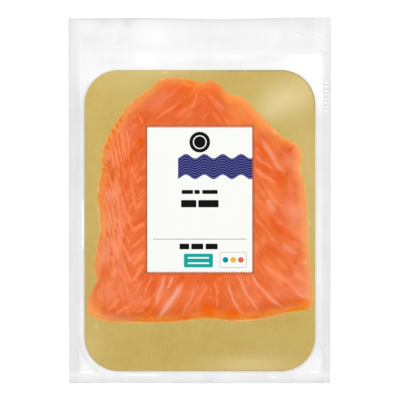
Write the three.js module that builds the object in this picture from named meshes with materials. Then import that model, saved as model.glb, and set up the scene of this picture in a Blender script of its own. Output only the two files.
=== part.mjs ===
// A flat vacuum pack of sliced smoked salmon, lying on its back. A clear film pouch is drawn
// tight over a stack of shingled slices on a gold card, and a paper label is stuck on the front.
// Millimetres. +X is the pack's right, +Y its head, +Z up out of its front. The origin is the
// middle of the face that it rests on.
import * as THREE from "three";

// The pouch: two films, drawn in CAD as one skin at the rim and one solid over what they hold.
const POUCH_WIDTH = 157.6;
const POUCH_LENGTH = 219.6;
const FOOT_NARROWING = 0.5; // each side runs in by this much from the head to the foot
const RIM_THICKNESS = 0.3;
const HEAD_EDGE_SAG = 0.8; // the head edge is cut a little lower in its middle
const HEAD_EDGE_LEAN = 0.4; // and its left end is twice this lower than its right end

// The free rim curls up off the table towards its edge, in slow ripples along X and Y.
const RIM_LIFT = 0.7;
const RIM_CURL = 1.5;
const RIM_RIPPLE = 0.33;
const RIM_RIPPLE_X = 13;
const RIM_RIPPLE_Y = 19;
const RIM_RIPPLE_SKEW = 31;
const HEAD_CORNER_LIFT = 1.3; // the right head corner stands up most
const HEAD_CORNER_FROM = new THREE.Vector2(30, 60);

// The card under the fish, with the film over its edge.
const CARD_WIDTH = 138.4;
const CARD_LENGTH = 180.6;
const CARD_CORNER = 20.4;
const CARD_CENTRE_Y = -12.3;
const CARD_TOP = 1.2;
const CARD_SHOULDER = 0.6; // the film turns over the card's edge from this far inside it
const CARD_OVERLAP = 0.2; // to this far outside it
const SHOULDER_DROP = 0.25;
const TENT_WIDTH = 3.2; // the film reaches the rim this far outside the card

// The stack of slices: its outline, anticlockwise from the right, one point at each turn of it.
const STACK_CENTRE = new THREE.Vector2(0, -3);
const STACK_OUTLINE = [
  [64.4, -3], [62.7, 11], [60.4, 19.5], [61.4, 26.4], [58.2, 33.4], [50.7, 37.2], [41.3, 46.3],
  [31.3, 56.4], [25.7, 61.6], [17.6, 64], [8.4, 72.2], [2, 71], [-10, 73.2], [-24, 72.6],
  [-29.5, 67.4], [-40, 60], [-49.8, 47.8], [-58.8, 29.4], [-59.1, 19], [-61.7, 4], [-60.2, -18],
  [-63.7, -40], [-62.2, -49], [-67.2, -60.6], [-65.9, -69], [-55, -73.2], [-32, -73.9],
  [-12, -73.3], [3, -71.4], [25, -73.1], [41, -70.7], [56, -67.3], [66, -65.6], [67.9, -59.2],
  [65.8, -33],
];
const SLICE_THICKNESS = 1.7;
const RELIEF_START = 2; // flakes and swell show from this far inside the stack's outline
const RELIEF_FULL = 9; // and fully from this far inside
const FILM_BRIDGE = 0.9; // the film meets the card this far outside the fish

// Where each slice's edge stays back from the stack's outline: the step all round, then
// bays, each [direction in degrees, half width in degrees, depth in millimetres]. A slice
// thins out to its edge over its taper.
const SLICES = [
  { step: 0, taper: 2.6, bays: [] },
  { step: 0.5, taper: 6, bays: [[58, 22, 6], [27, 10, 4], [226, 12, 1.5]] },
  { step: 1, taper: 9, bays: [[60, 25, 8], [27, 12, 8], [226, 14, 2.5]] },
  { step: 1.5, taper: 11.5, bays: [[62, 26, 10], [27, 14, 12], [224, 15, 3.5]] },
];

// The flakes: W-shaped bands of muscle that slope away from the fillet's middle line, and turn
// back up along a second line near the left edge.
const MIDDLE_LINE_X = 5;
const TURN_LINE_X = -42;
const FLAKE_SLOPE = 0.6;
const FLAKE_FLARE = 46;
const FLAKE_REACH = 30;
const FLAKE_PITCH_RIGHT = 16;
const FLAKE_PITCH_LEFT = 11;
const FLAKE_FLATTENING = 0.4; // towards the head the bands slope less, by this share
const FLATTENING_START_Y = -10;
const FLATTENING_END_Y = 70;
const TURN_SLOPE = 1.8;
const TURN_CURL = 0.175;
const FINE_MARGIN_START = 2; // beyond the turn line the bands run too close to stand out
const FINE_MARGIN_END = 8;
const FLAKE_RELIEF = 0.24;

// Slow waves in the stack's top: [height, X wave, Y wave, start].
const SWELL = [[0.15, 17, 23, 0.6], [0.105, 11, -15, 2]];

// The label, pressed into a slightly crowned panel.
const LABEL_WIDTH = 62.8;
const LABEL_LENGTH = 87.6;
const LABEL_CENTRE_Y = 0.2;
const LABEL_THICKNESS = 0.3;
const LABEL_GAP = 0.3;
const LABEL_CROWN = 0.45;
const LABEL_CROWN_POWER = 4;
const LABEL_MARGIN = 1; // the pressed panel keeps its height this far outside the label
const LABEL_BLEND = 6; // the film leaves the pressed panel over this width

// How finely the surfaces are divided.
const DIRECTIONS = 144;
const OUTLINE_STEPS = 720;
const PANEL_RINGS = [0.4, 0.75, 1]; // shares of the way out to the panel's edge
const FISH_RINGS = 11;
const BANK_TOP = 5.6; // how far inside the fish's outline its steep edge starts
const BANK_RINGS = [4, 2.6, 1.5, 0.6]; // and the rings on the way down from there
const RIM_RINGS = [0, 0.5, 1]; // shares of the way from the card's tent to the pouch's edge
const LABEL_COLUMNS = 14;
const LABEL_ROWS = 20;

const FULL_TURN = 2 * Math.PI;
const { smoothstep, lerp, clamp, degToRad, euclideanModulo } = THREE.MathUtils;

// ---- Outlines, each as a distance from the stack's centre in a given direction ----

// Turns a closed run of points into a function from direction (radians) to distance.
function reachOf(points) {
  const polar = points
    .map((point) => point.clone().sub(STACK_CENTRE))
    .map((offset) => ({ angle: offset.angle(), distance: offset.length() }))
    .sort((a, b) => a.angle - b.angle);
  return (direction) => {
    const angle = euclideanModulo(direction, FULL_TURN);
    const next = Math.max(0, polar.findIndex((corner) => corner.angle > angle));
    const after = polar[next];
    const before = polar[(next + polar.length - 1) % polar.length];
    const span = euclideanModulo(after.angle - before.angle, FULL_TURN);
    const share = euclideanModulo(angle - before.angle, FULL_TURN) / span;
    return lerp(before.distance, after.distance, share);
  };
}

function stackPoints() {
  const corners = STACK_OUTLINE.map(([x, y]) => new THREE.Vector3(x, y, 0));
  const curve = new THREE.CatmullRomCurve3(corners, true, "centripetal");
  return curve.getPoints(OUTLINE_STEPS).slice(0, -1).map(({ x, y }) => new THREE.Vector2(x, y));
}

function cardPoints() {
  const [x, y, r] = [CARD_WIDTH / 2, CARD_LENGTH / 2, CARD_CORNER];
  const card = new THREE.Shape();
  card.absarc(x - r, y - r, r, 0, FULL_TURN / 4);
  card.absarc(-x + r, y - r, r, FULL_TURN / 4, FULL_TURN / 2);
  card.absarc(-x + r, -y + r, r, FULL_TURN / 2, FULL_TURN * 0.75);
  card.absarc(x - r, -y + r, r, FULL_TURN * 0.75, FULL_TURN);
  card.closePath();
  const centre = new THREE.Vector2(0, CARD_CENTRE_Y);
  return card.getSpacedPoints(OUTLINE_STEPS).slice(0, -1).map((point) => point.add(centre));
}

const cardReach = reachOf(cardPoints());
const stackReach = reachOf(stackPoints());

// The pouch's head edge is a shallow curve that ends higher on the right.
function headEdgeY(x) {
  const across = clamp(x / (POUCH_WIDTH / 2), -1, 1);
  return POUCH_LENGTH / 2 - HEAD_EDGE_SAG * (1 - across * across) - HEAD_EDGE_LEAN * (1 - across);
}

// Half the pouch's width at a place along it.
function sideX(y) {
  return POUCH_WIDTH / 2 - FOOT_NARROWING * (0.5 - y / POUCH_LENGTH);
}

function pouchReach(direction) {
  const [c, s] = [Math.cos(direction), Math.sin(direction)];
  const towardsSide = Math.abs(c) - (FOOT_NARROWING / POUCH_LENGTH) * s;
  const toSide = sideX(STACK_CENTRE.y) / Math.max(Number.EPSILON, towardsSide);
  const foot = POUCH_LENGTH / 2 + STACK_CENTRE.y;
  if (s <= 0) return Math.min(toSide, foot / Math.abs(s));
  let toHead = (POUCH_LENGTH / 2 - STACK_CENTRE.y) / s;
  for (let pass = 0; pass < 8; pass++) toHead = (headEdgeY(toHead * c) - STACK_CENTRE.y) / s;
  return Math.min(toSide, toHead);
}

function labelReach(direction, margin) {
  const [c, s] = [Math.cos(direction), Math.sin(direction)];
  const up = LABEL_LENGTH / 2 + margin + Math.sign(s) * (LABEL_CENTRE_Y - STACK_CENTRE.y);
  return Math.min((LABEL_WIDTH / 2 + margin) / Math.abs(c), up / Math.abs(s));
}

// ---- Heights ----

// How far a slice reaches in a direction.
function sliceReach({ step, bays }, direction) {
  const inset = bays.reduce((sum, [at, halfWidth, depth]) => {
    const turn = euclideanModulo(direction - degToRad(at) + Math.PI, FULL_TURN) - Math.PI;
    const share = Math.min(1, Math.abs(turn) / degToRad(halfWidth));
    return sum + (depth * (1 + Math.cos(Math.PI * share))) / 2;
  }, step);
  return stackReach(direction) - inset;
}

// The number of flake bands between a point and the foot of the fish.
function flakePhase(x, y) {
  const flare = (away) => FLAKE_SLOPE * away + FLAKE_FLARE * Math.tanh(away / FLAKE_REACH);
  const steep = 1 - FLAKE_FLATTENING * smoothstep(y, FLATTENING_START_Y, FLATTENING_END_Y);
  if (x >= MIDDLE_LINE_X) return (y + steep * flare(x - MIDDLE_LINE_X)) / FLAKE_PITCH_RIGHT;
  const beyond = Math.max(0, TURN_LINE_X - x);
  const away = MIDDLE_LINE_X - Math.max(x, TURN_LINE_X);
  const turned = TURN_SLOPE * beyond + TURN_CURL * beyond * beyond;
  return (y + steep * flare(away) - turned) / FLAKE_PITCH_LEFT;
}

// The stack's top, before the label presses on it.
function stackHeight(x, y, direction, distance) {
  let height = CARD_TOP;
  for (const slice of SLICES)
    height += SLICE_THICKNESS * smoothstep(sliceReach(slice, direction) - distance, 0, slice.taper);
  const inside = smoothstep(stackReach(direction) - distance, RELIEF_START, RELIEF_FULL);
  const coarse = 1 - smoothstep(TURN_LINE_X - x, FINE_MARGIN_START, FINE_MARGIN_END);
  let relief = FLAKE_RELIEF * coarse * Math.cos(FULL_TURN * flakePhase(x, y));
  for (const [rise, waveX, waveY, start] of SWELL)
    relief += rise * Math.sin(x / waveX + y / waveY + start);
  return height + inside * relief;
}

function labelPanelHeight(x, y) {
  const across = x / (LABEL_WIDTH / 2);
  const along = (y - LABEL_CENTRE_Y) / (LABEL_LENGTH / 2);
  const drop = LABEL_CROWN * (across ** LABEL_CROWN_POWER + along ** LABEL_CROWN_POWER);
  return CARD_TOP + SLICES.length * SLICE_THICKNESS - drop;
}

// The film's outer face over the card and the fish.
function frontHeight(x, y, direction, distance) {
  const pastSide = Math.max(0, Math.abs(x) - LABEL_WIDTH / 2);
  const pastEnd = Math.max(0, Math.abs(y - LABEL_CENTRE_Y) - LABEL_LENGTH / 2);
  const pressed = 1 - smoothstep(Math.hypot(pastSide, pastEnd), 0, LABEL_BLEND);
  const panelX = LABEL_WIDTH / 2 + LABEL_MARGIN;
  const panelY = LABEL_LENGTH / 2 + LABEL_MARGIN;
  const heldX = clamp(x, -panelX, panelX);
  const heldY = clamp(y, LABEL_CENTRE_Y - panelY, LABEL_CENTRE_Y + panelY);
  return lerp(stackHeight(x, y, direction, distance), labelPanelHeight(heldX, heldY), pressed);
}

// How far the free rim stands off the table.
function rimLift(x, y, direction, distance) {
  const start = cardReach(direction);
  const outward = Math.max(0, (distance - start) / (pouchReach(direction) - start));
  const ripple = Math.sin(x / RIM_RIPPLE_X + 1) + Math.sin(y / RIM_RIPPLE_Y + x / RIM_RIPPLE_SKEW);
  const cornerX = smoothstep(x, HEAD_CORNER_FROM.x, POUCH_WIDTH / 2);
  const cornerY = smoothstep(y, HEAD_CORNER_FROM.y, POUCH_LENGTH / 2);
  const lift = RIM_LIFT + RIM_RIPPLE * ripple + HEAD_CORNER_LIFT * cornerX * cornerY;
  return outward ** RIM_CURL * lift;
}

// ---- Solids ----

// A closed solid from rings of points that run from its top middle round to its bottom middle.
function solidOfRings(top, rings, bottom) {
  const count = rings[0].length;
  const points = [top, ...rings.flat(), bottom];
  const at = (ring, k) => 1 + ring * count + (k % count);
  const last = points.length - 1;
  const faces = [];
  for (let k = 0; k < count; k++) {
    faces.push(0, at(0, k), at(0, k + 1));
    for (let ring = 0; ring + 1 < rings.length; ring++) {
      faces.push(at(ring, k), at(ring + 1, k), at(ring + 1, k + 1));
      faces.push(at(ring, k), at(ring + 1, k + 1), at(ring, k + 1));
    }
    faces.push(at(rings.length - 1, k), last, at(rings.length - 1, k + 1));
  }
  return geometryOf(points, faces);
}

function geometryOf(points, faces) {
  const geometry = new THREE.BufferGeometry();
  const numbers = points.flatMap((point) => point.toArray());
  geometry.setAttribute("position", new THREE.Float32BufferAttribute(numbers, 3));
  geometry.setIndex(faces);
  geometry.computeVertexNormals();
  return geometry;
}

// Evenly spread directions, with the nearest one moved onto each corner of the pouch.
function directions() {
  const step = FULL_TURN / DIRECTIONS;
  const all = Array.from({ length: DIRECTIONS }, (_, k) => k * step);
  for (const side of [-1, 1])
    for (const y of [-POUCH_LENGTH / 2, headEdgeY((side * POUCH_WIDTH) / 2)]) {
      const corner = new THREE.Vector2(side * sideX(y), y).sub(STACK_CENTRE).angle();
      all[Math.round(corner / step) % DIRECTIONS] = corner;
    }
  return all;
}

function pouchGeometry() {
  const around = directions();
  const place = (direction, distance, heightOf) => {
    const x = STACK_CENTRE.x + distance * Math.cos(direction);
    const y = STACK_CENTRE.y + distance * Math.sin(direction);
    return new THREE.Vector3(x, y, heightOf(x, y, direction, distance));
  };
  const ring = (reach, heightOf) => around.map((d) => place(d, reach(d), heightOf));
  const between = (from, to, share) => (d) => lerp(from(d), to(d), share);

  const centre = () => 0;
  const panelEdge = (d) => labelReach(d, LABEL_MARGIN);
  const bankTop = (d) => stackReach(d) - BANK_TOP;
  const tentFoot = (d) => cardReach(d) + TENT_WIDTH;
  const cardTop = () => CARD_TOP;
  const shoulder = () => CARD_TOP - SHOULDER_DROP;
  const rimTop = (...at) => rimLift(...at) + RIM_THICKNESS;
  const table = () => 0;

  const panel = PANEL_RINGS.map((share) => ring(between(centre, panelEdge, share), frontHeight));
  const fish = Array.from({ length: FISH_RINGS }, (_, k) =>
    ring(between(panelEdge, bankTop, (k + 1) / FISH_RINGS), frontHeight));
  const bank = BANK_RINGS.map((inset) => ring((d) => stackReach(d) - inset, frontHeight));
  const card = [
    ring((d) => stackReach(d) + FILM_BRIDGE, cardTop),
    ring((d) => cardReach(d) - CARD_SHOULDER, cardTop),
    ring((d) => cardReach(d) + CARD_OVERLAP, shoulder),
  ];
  const rim = RIM_RINGS.map((share) => ring(between(tentFoot, pouchReach, share), rimTop));
  const under = RIM_RINGS.map((share) => ring(between(tentFoot, pouchReach, 1 - share), rimLift));
  const back = ring((d) => cardReach(d) - CARD_SHOULDER, table);

  const rings = [...panel, ...fish, ...bank, ...card, ...rim, ...under, back];
  return solidOfRings(place(0, 0, frontHeight), rings, place(0, 0, table));
}

// The label is a sheet of even thickness that follows the pressed panel.
function labelGeometry() {
  const sheet = new THREE.BoxGeometry(LABEL_WIDTH, LABEL_LENGTH, 1, LABEL_COLUMNS, LABEL_ROWS, 1);
  const place = sheet.getAttribute("position");
  for (let k = 0; k < place.count; k++) {
    const [x, y] = [place.getX(k), place.getY(k) + LABEL_CENTRE_Y];
    const above = place.getZ(k) > 0 ? LABEL_THICKNESS : 0;
    place.setXYZ(k, x, y, labelPanelHeight(x, y) + LABEL_GAP + above);
  }
  sheet.computeVertexNormals();
  return sheet;
}

function named(name, geometry, look) {
  const mesh = new THREE.Mesh(geometry, new THREE.MeshStandardMaterial(look));
  mesh.name = name;
  return mesh;
}

const pack = new THREE.Group();
pack.add(named("pouch", pouchGeometry(), { color: 0xee7a45, roughness: 0.25, metalness: 0 }));
pack.add(named("label", labelGeometry(), { color: 0xf6f6f2, roughness: 0.6, metalness: 0 }));

export default pack;
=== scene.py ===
"""A flat vacuum pack of sliced smoked salmon: gold card, slices, clear film pouch and paper label.

Sizes are millimetres until a mesh is made. +X is the pack's right, +Y its head, +Z up.
"""

import math

import bpy
import numpy as np
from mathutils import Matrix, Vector


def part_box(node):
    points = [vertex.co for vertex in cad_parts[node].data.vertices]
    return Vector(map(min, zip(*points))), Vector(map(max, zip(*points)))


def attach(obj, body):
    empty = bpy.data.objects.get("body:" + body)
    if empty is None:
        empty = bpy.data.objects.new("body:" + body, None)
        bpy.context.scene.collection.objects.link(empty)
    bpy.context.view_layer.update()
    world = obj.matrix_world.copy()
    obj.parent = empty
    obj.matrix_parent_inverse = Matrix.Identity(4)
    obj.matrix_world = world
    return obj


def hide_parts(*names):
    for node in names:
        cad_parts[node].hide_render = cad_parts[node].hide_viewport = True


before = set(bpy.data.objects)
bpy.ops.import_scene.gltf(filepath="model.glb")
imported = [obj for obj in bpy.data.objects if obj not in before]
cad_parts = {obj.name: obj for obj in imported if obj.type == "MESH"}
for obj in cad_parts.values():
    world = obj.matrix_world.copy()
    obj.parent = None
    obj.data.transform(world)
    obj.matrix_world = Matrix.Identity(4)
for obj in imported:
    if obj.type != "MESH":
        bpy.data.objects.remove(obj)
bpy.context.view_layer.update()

# ---- The card ----
# A stiff board faced on both sides with gold foil and die-cut with round corners, so that its
# pale core shows only at the cut edge. The slices lie on its front and it keeps the pack flat.

MM = 0.001
TURN = 2 * math.pi
STACK_MIDDLE = (0, -3)  # the point that every outline is drawn round, in the middle of the fish
CARD_WIDTH = 138.4
CARD_LENGTH = 180.6
CARD_CORNER = 20.4
CARD_MIDDLE_Y = -12.3
CARD_FACE = 1.06
CARD_BACK = 0.16
CARD_BEVEL = 0.12
CARD_STEPS = 480  # points round each ring of its mesh
CARD_RINGS = 26
FIRST_RING = 0.04  # the innermost ring, as a share of the face
FACE_MARGIN = 2
# how strong the painted shade along the card's cut edge at the head's right corner is
EDGE_SHADE = 0.8


def eased(value, low, high):
    """0 below `low`, 1 above `high` and eased between."""
    share = np.clip((value - low) / (high - low), 0, 1)
    return share * share * (3 - 2 * share)


def from_middle(x, y):
    """The direction and the distance of a place from the middle of the fish."""
    x, y = x - STACK_MIDDLE[0], y - STACK_MIDDLE[1]
    return np.arctan2(y, x), np.hypot(x, y)


def reach_of(outline):
    """Turns a closed run of points into a function from direction to distance from the middle."""
    angles, distances = from_middle(*np.asarray(outline, float).T)
    angles = angles % TURN
    order = np.argsort(angles)
    return lambda direction: np.interp(direction, angles[order], distances[order], period=TURN)


def round_cornered(width, length, corner, middle_y, steps=720):
    """The outline of a rectangle with round corners, as evenly spaced points."""
    turn = np.linspace(0, TURN, steps, endpoint=False) + TURN / steps / 2
    across = np.sign(np.cos(turn)) * (width / 2 - corner) + corner * np.cos(turn)
    along = np.sign(np.sin(turn)) * (length / 2 - corner) + corner * np.sin(turn)
    across, along = np.append(across, across[0]), np.append(along, along[0])
    run = np.insert(np.cumsum(np.hypot(np.diff(across), np.diff(along))), 0, 0)
    even = np.linspace(0, run[-1], steps, endpoint=False)
    return np.column_stack([np.interp(even, run, across), np.interp(even, run, along) + middle_y])


def ring(reach, height, around):
    """Points at `reach` in each direction of `around`, at the height that `height` gives."""
    distance = np.broadcast_to(reach(around), around.shape)
    x = STACK_MIDDLE[0] + distance * np.cos(around)
    y = STACK_MIDDLE[1] + distance * np.sin(around)
    return np.column_stack([x, y, np.broadcast_to(height(x, y, around, distance), x.shape)])


def piece(name, points, faces, finish, readings=None):
    """A smooth mesh object from points in millimetres, with its finish and its named readings."""
    mesh = bpy.data.meshes.new(name)
    mesh.from_pydata(points * MM, [], faces)
    for label, values in (readings or {}).items():
        mesh.attributes.new(label, "FLOAT", "POINT").data.foreach_set("value", values)
    mesh.materials.append(finish)
    mesh.shade_smooth()
    mesh.update()
    made = bpy.data.objects.new(name, mesh)
    bpy.context.scene.collection.objects.link(made)
    return made


def skin_of_rings(rings):
    """A closed skin whose rings run from its top middle out, over its edge and back underneath."""
    count = len(rings[0])
    top = [*STACK_MIDDLE, rings[0][:, 2].mean()]
    bottom = [*STACK_MIDDLE, rings[-1][:, 2].mean()]
    points = np.vstack([top, *rings, bottom])
    here = np.arange(count)
    after = (here + 1) % count
    faces = [(0, 1 + a, 1 + b) for a, b in zip(here, after)]
    for level in range(len(rings) - 1):
        inner, outer = 1 + level * count, 1 + (level + 1) * count
        quads = [inner + here, outer + here, outer + after, inner + after]
        faces += np.column_stack(quads).tolist()
    last = len(points) - 1
    faces += [(last - count + a, last, last - count + b) for a, b in zip(here, after)]
    return points, faces


def add_node(tree, kind, settings=None, sockets=None, output=0):
    """Adds a node, sets it up, fills its sockets and gives back one of its outputs."""
    made = tree.nodes.new(kind)
    for name, value in (settings or {}).items():
        setattr(made, name, value)
    for name, value in (sockets or {}).items():
        if isinstance(value, bpy.types.NodeSocket):
            tree.links.new(value, made.inputs[name])
        else:
            made.inputs[name].default_value = value
    return made.outputs[output] if made.outputs else None


class Reading:
    """One value inside a finish. Sums and products of readings are readings too."""

    def __init__(self, finish, socket):
        self.finish, self.socket = finish, socket

    def maths(self, operation, *others, turned=False):
        values = (*others, self) if turned else (self, *others)
        return self.finish.node("Math", {"operation": operation}, dict(enumerate(values)))

    def __add__(self, other):
        return self.maths("ADD", other)

    def __mul__(self, other):
        return self.maths("MULTIPLY", other)

    def __sub__(self, other):
        return self.maths("SUBTRACT", other)

    def __rsub__(self, other):
        return self.maths("SUBTRACT", other, turned=True)

    def __truediv__(self, other):
        return self.maths("DIVIDE", other)

    def __pow__(self, other):
        return self.maths("POWER", other)

    def __abs__(self):
        return self.maths("ABSOLUTE")

    __radd__ = __add__
    __rmul__ = __mul__

    def rise(self, low, high):
        """0 below `low`, 1 above `high` and eased between."""
        sockets = {"Value": self, "From Min": low, "From Max": high}
        return self.finish.node("MapRange", {"interpolation_type": "SMOOTHSTEP"}, sockets)

    def near(self, place, width):
        """1 at `place` and eased down to 0 at `width` from it."""
        return 1 - abs(self - place).rise(0, width)


class Finish:
    """A material in the making."""

    def __init__(self, name):
        self.material = bpy.data.materials.new(name)
        self.material.use_nodes = True
        self.tree = self.material.node_tree
        self.tree.nodes.clear()

    def node(self, kind, settings=None, sockets=None, output=0):
        """Adds a shader node and reads one of its outputs."""
        bare = {name: getattr(value, "socket", value) for name, value in (sockets or {}).items()}
        return Reading(self, add_node(self.tree, "ShaderNode" + kind, settings, bare, output))

    def places(self):
        """The place on the object, in millimetres: the vector, then its X and Y."""
        metres = self.node("TexCoord", output="Object")
        place = self.node("VectorMath", {"operation": "SCALE"}, {0: metres, "Scale": 1 / MM})
        apart = [self.node("SeparateXYZ", None, {0: place}, output=axis) for axis in (0, 1)]
        return place, *apart

    def on_mesh(self, label):
        """A reading that the mesh holds at each of its points."""
        return self.node("Attribute", {"attribute_name": label}, output="Fac")

    def noise(self, vector, size, detail=2.0, stretch=(1, 1, 1)):
        """Soft random values from 0 to 1 that change over about `size` millimetres."""
        scaled = self.node("Mapping", None, {"Vector": vector, "Scale": stretch})
        sockets = {"Vector": scaled, "Scale": 1 / size, "Detail": detail}
        return self.node("TexNoise", None, sockets)

    def mix(self, share, first, second):
        """A colour that goes from the first to the second as the share goes from 0 to 1."""
        return self.node("Mix", {"data_type": "RGBA"}, {0: share, 6: first, 7: second}, output=2)

    def over(self, colour, *layers):
        """A colour with others laid over it, each as its share and its paint or its reading."""
        for share, layer in layers:
            layer = layer if isinstance(layer, Reading) else paint(*layer)
            colour = self.mix(share, colour, layer)
        return colour

    def relief(self, height, strength, depth):
        """A normal for small relief `depth` millimetres deep."""
        sockets = {"Strength": strength, "Distance": depth * MM, "Height": height}
        return self.node("Bump", None, sockets)

    def surface(self, **sockets):
        """Ends the material in one surface shader and gives the material back."""
        titles = [name.replace("_", " ").title().replace("Ior", "IOR") for name in sockets]
        shader = self.node("BsdfPrincipled", None, dict(zip(titles, sockets.values())))
        self.node("OutputMaterial", None, {"Surface": shader})
        return self.material


def paint(red, green, blue):
    """A colour as seen, 0 to 255, as the light it gives back."""
    seen = np.array([red, green, blue]) / 255
    light = np.where(seen <= 0.04045, seen / 12.92, ((seen + 0.055) / 1.055) ** 2.4)
    return (*light.tolist(), 1.0)


def gold_foil():
    """Gold foil on board: soft mottling, fine rolling grain and specks, a pale cut edge, painted
    glare and a painted shade along the head's right edge.
    """
    foil = Finish("gold_foil")
    place, x, y = foil.places()
    cloud = foil.noise(place, 30, 2).rise(0.3, 0.7)
    blotch = foil.noise(place, 7, 3).rise(0.35, 0.75)
    grain = foil.noise(place, 1.1, 3, stretch=(1, 0.2, 1))
    specks = foil.noise(place, 1.3, 0).rise(0.72, 0.82)
    cut, foil_glare, deep, shade = map(foil.on_mesh, ("cut", "foil_glare", "deep", "shade"))
    return foil.surface(
        base_color=foil.over(
            paint(169, 143, 68),
            (cloud, (176, 153, 79)),
            (deep, (164, 135, 54)),
            # painted glare of the lamps on the foil
            (foil_glare, (203, 186, 132)),
            (blotch * 0.25, (182, 160, 86)),
            (grain.rise(0.4, 0.8) * 0.12, (200, 182, 119)),
            (specks * 0.3, (192, 174, 98)),
            # painted shade along the cut edge at the head's right corner
            (shade, (116, 106, 58)),
            (cut, (196, 186, 160)),
        ),
        metallic=0.4 * (1 - cut),
        roughness=0.42 + cloud * 0.06 + cut * 0.4,
        normal=foil.relief(grain + blotch, 0.2, 0.05),
    )


def patches(x, y, places):
    """Soft patches that add up, at most to 1: middle, reach across and along, and strength."""
    field = np.zeros_like(x)
    for at_x, at_y, reach_x, reach_y, strength in places:
        field += strength * np.exp(-(((x - at_x) / reach_x) ** 2) - ((y - at_y) / reach_y) ** 2)
    return np.minimum(field, 1)


# Where the foil is painted paler, mostly as a painted glare of the lamps on it, and where it is
# deeper.
FOIL_GLARE_PATCHES = [
    (53, 62, 13, 9, 0.75), (43, 54, 9, 7, 0.4), (62, 24, 9, 26, 0.22), (-48, 70, 20, 6, 0.22),
    (-62, 20, 6, 40, 0.03), (30, -99, 26, 4.5, 0.6), (-30, 77, 26, 3, 0.3), (69, -6, 4, 40, 0.15),
    (-66, -88, 8, 12, 0.25), (66, 66, 5, 10, 0.2), (61, 73, 8, 5, 0.25),
]
DEEP_FOIL = [
    (0, -92, 60, 12, 0.3), (24, 76, 18, 5, 0.3), (-66, -20, 3, 50, 0.2), (67, 50, 3, 12, 0.3),
    (48, -73, 18, 5, 0.4), (61, 16, 5, 16, 0.3), (-56, 44, 8, 9, 0.3), (-32, -82, 20, 6, 0.2),
]

card_reach = reach_of(round_cornered(CARD_WIDTH, CARD_LENGTH, CARD_CORNER, CARD_MIDDLE_Y))
card_around = np.linspace(0, TURN, CARD_STEPS, endpoint=False)
card_rings = [
    ring(lambda d, s=share: s * (card_reach(d) - FACE_MARGIN), lambda *_: CARD_FACE, card_around)
    for share in np.linspace(FIRST_RING, 1, CARD_RINGS)
]
# From the face over the cut edge to the back: how far in from the edge, the height, and
# whether the core shows there.
CARD_EDGE = [
    (1.1, CARD_FACE, 0),
    (0.6, CARD_FACE, 0),
    (CARD_BEVEL, CARD_FACE, 0.3),
    (0.3 * CARD_BEVEL, CARD_FACE - 0.3 * CARD_BEVEL, 0.4),
    (0, CARD_FACE - CARD_BEVEL, 1),
    (0, CARD_BACK + CARD_BEVEL, 1),
    (0.3 * CARD_BEVEL, CARD_BACK + 0.3 * CARD_BEVEL, 0),
    (CARD_BEVEL, CARD_BACK, 0),
    (FACE_MARGIN, CARD_BACK, 0),
]
card_cut = [0] * (1 + len(card_around) * len(card_rings))
for inset, height, cut in CARD_EDGE:
    card_rings.append(ring(lambda d: card_reach(d) - inset, lambda *_: height, card_around))
    card_cut += [cut] * len(card_around)
card_points, card_faces = skin_of_rings(card_rings)
x, y, _ = card_points.T
direction, distance = from_middle(x, y)
# A painted shade along the cut edge, used at the head's right corner only.
edge_shade = EDGE_SHADE * (1 - eased(card_reach(direction) - distance, 0.1, 1.1))
card_readings = {
    "cut": card_cut + [0],
    "shade": edge_shade * eased(x, 2, 20) * eased(y, 36, 62),  # at the head's right corner only
    "foil_glare": patches(x, y, FOIL_GLARE_PATCHES),
    "deep": patches(x, y, DEEP_FOIL),
}
card = piece("gold_card", card_points, card_faces, gold_foil(), card_readings)
card.data.set_sharp_from_angle(angle=math.radians(50))
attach(card, "root")


# ---- The salmon ----
# Four thin slices cut flat across a smoked fillet and laid almost on top of each other. They thin
# out to their edges, and pale fat lines part the flakes of muscle.

STACK_TURNS = [
    (64.4, -3), (62.7, 11), (60.4, 19.5), (61.4, 26.4), (58.2, 33.4), (50.7, 37.2), (41.3, 46.3),
    (31.3, 56.4), (25.7, 61.6), (17.6, 64), (8.4, 72.2), (2, 71), (-10, 73.2), (-24, 72.6),
    (-29.5, 67.4), (-40, 60), (-49.8, 47.8), (-58.8, 29.4), (-59.1, 19), (-61.7, 4), (-60.2, -18),
    (-63.7, -40), (-62.2, -49), (-67.2, -60.6), (-65.9, -69), (-55, -73.2), (-32, -73.9),
    (-12, -73.3), (3, -71.4), (25, -73.1), (41, -70.7), (56, -67.3), (66, -65.6), (67.9, -59.2),
    (65.8, -33),
]
SLICE_THICKNESS = 1.7
# Where each slice stays back from the stack's outline: the step all round, the width over which
# it thins out, then bays, each with its direction and half width in degrees and its depth.
SLICES = [
    (0, 2.6, []),
    (0.5, 6, [(58, 22, 6), (27, 10, 4), (226, 12, 1.5)]),
    (1, 9, [(60, 25, 8), (27, 12, 8), (226, 14, 2.5)]),
    (1.5, 11.5, [(62, 26, 10), (27, 14, 12), (224, 15, 3.5)]),
]
EDGE_LIP = 0.06  # an upper slice's edge stands up this much in its bays
RAGGED, FINELY_RAGGED = 0.16, 0.12
TORN, TORN_AT, TORN_REACH = 1.6, 2.45, 0.5  # how much more ragged it is round one direction
RELIEF_START = 2
RELIEF_FULL = 9
MIDDLE_LINE_X = 5
TURN_LINE_X = -42
FLAKE_SLOPE = 0.6
FLAKE_FLARE = 46
FLAKE_REACH = 30
FLAKE_PITCH_RIGHT = 16
FLAKE_PITCH_LEFT = 11
FLAKE_FLATTENING = 0.4
FLATTENED_ALONG = (-10, 70)
FINE_MARGIN = (2, 8)  # past the turn line the flakes give way to fine fibres over this stretch
FINE_FROM_FOOT = (-62, -40)
TURN_SLOPE = 1.8
TURN_CURL = 0.175
FLAKE_RELIEF = 0.24
SWELL = [(0.15, 17, 23, 0.6), (0.105, 11, -15, 2)]
CARD_TOP = 1.2  # the film's height over the card
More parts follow.
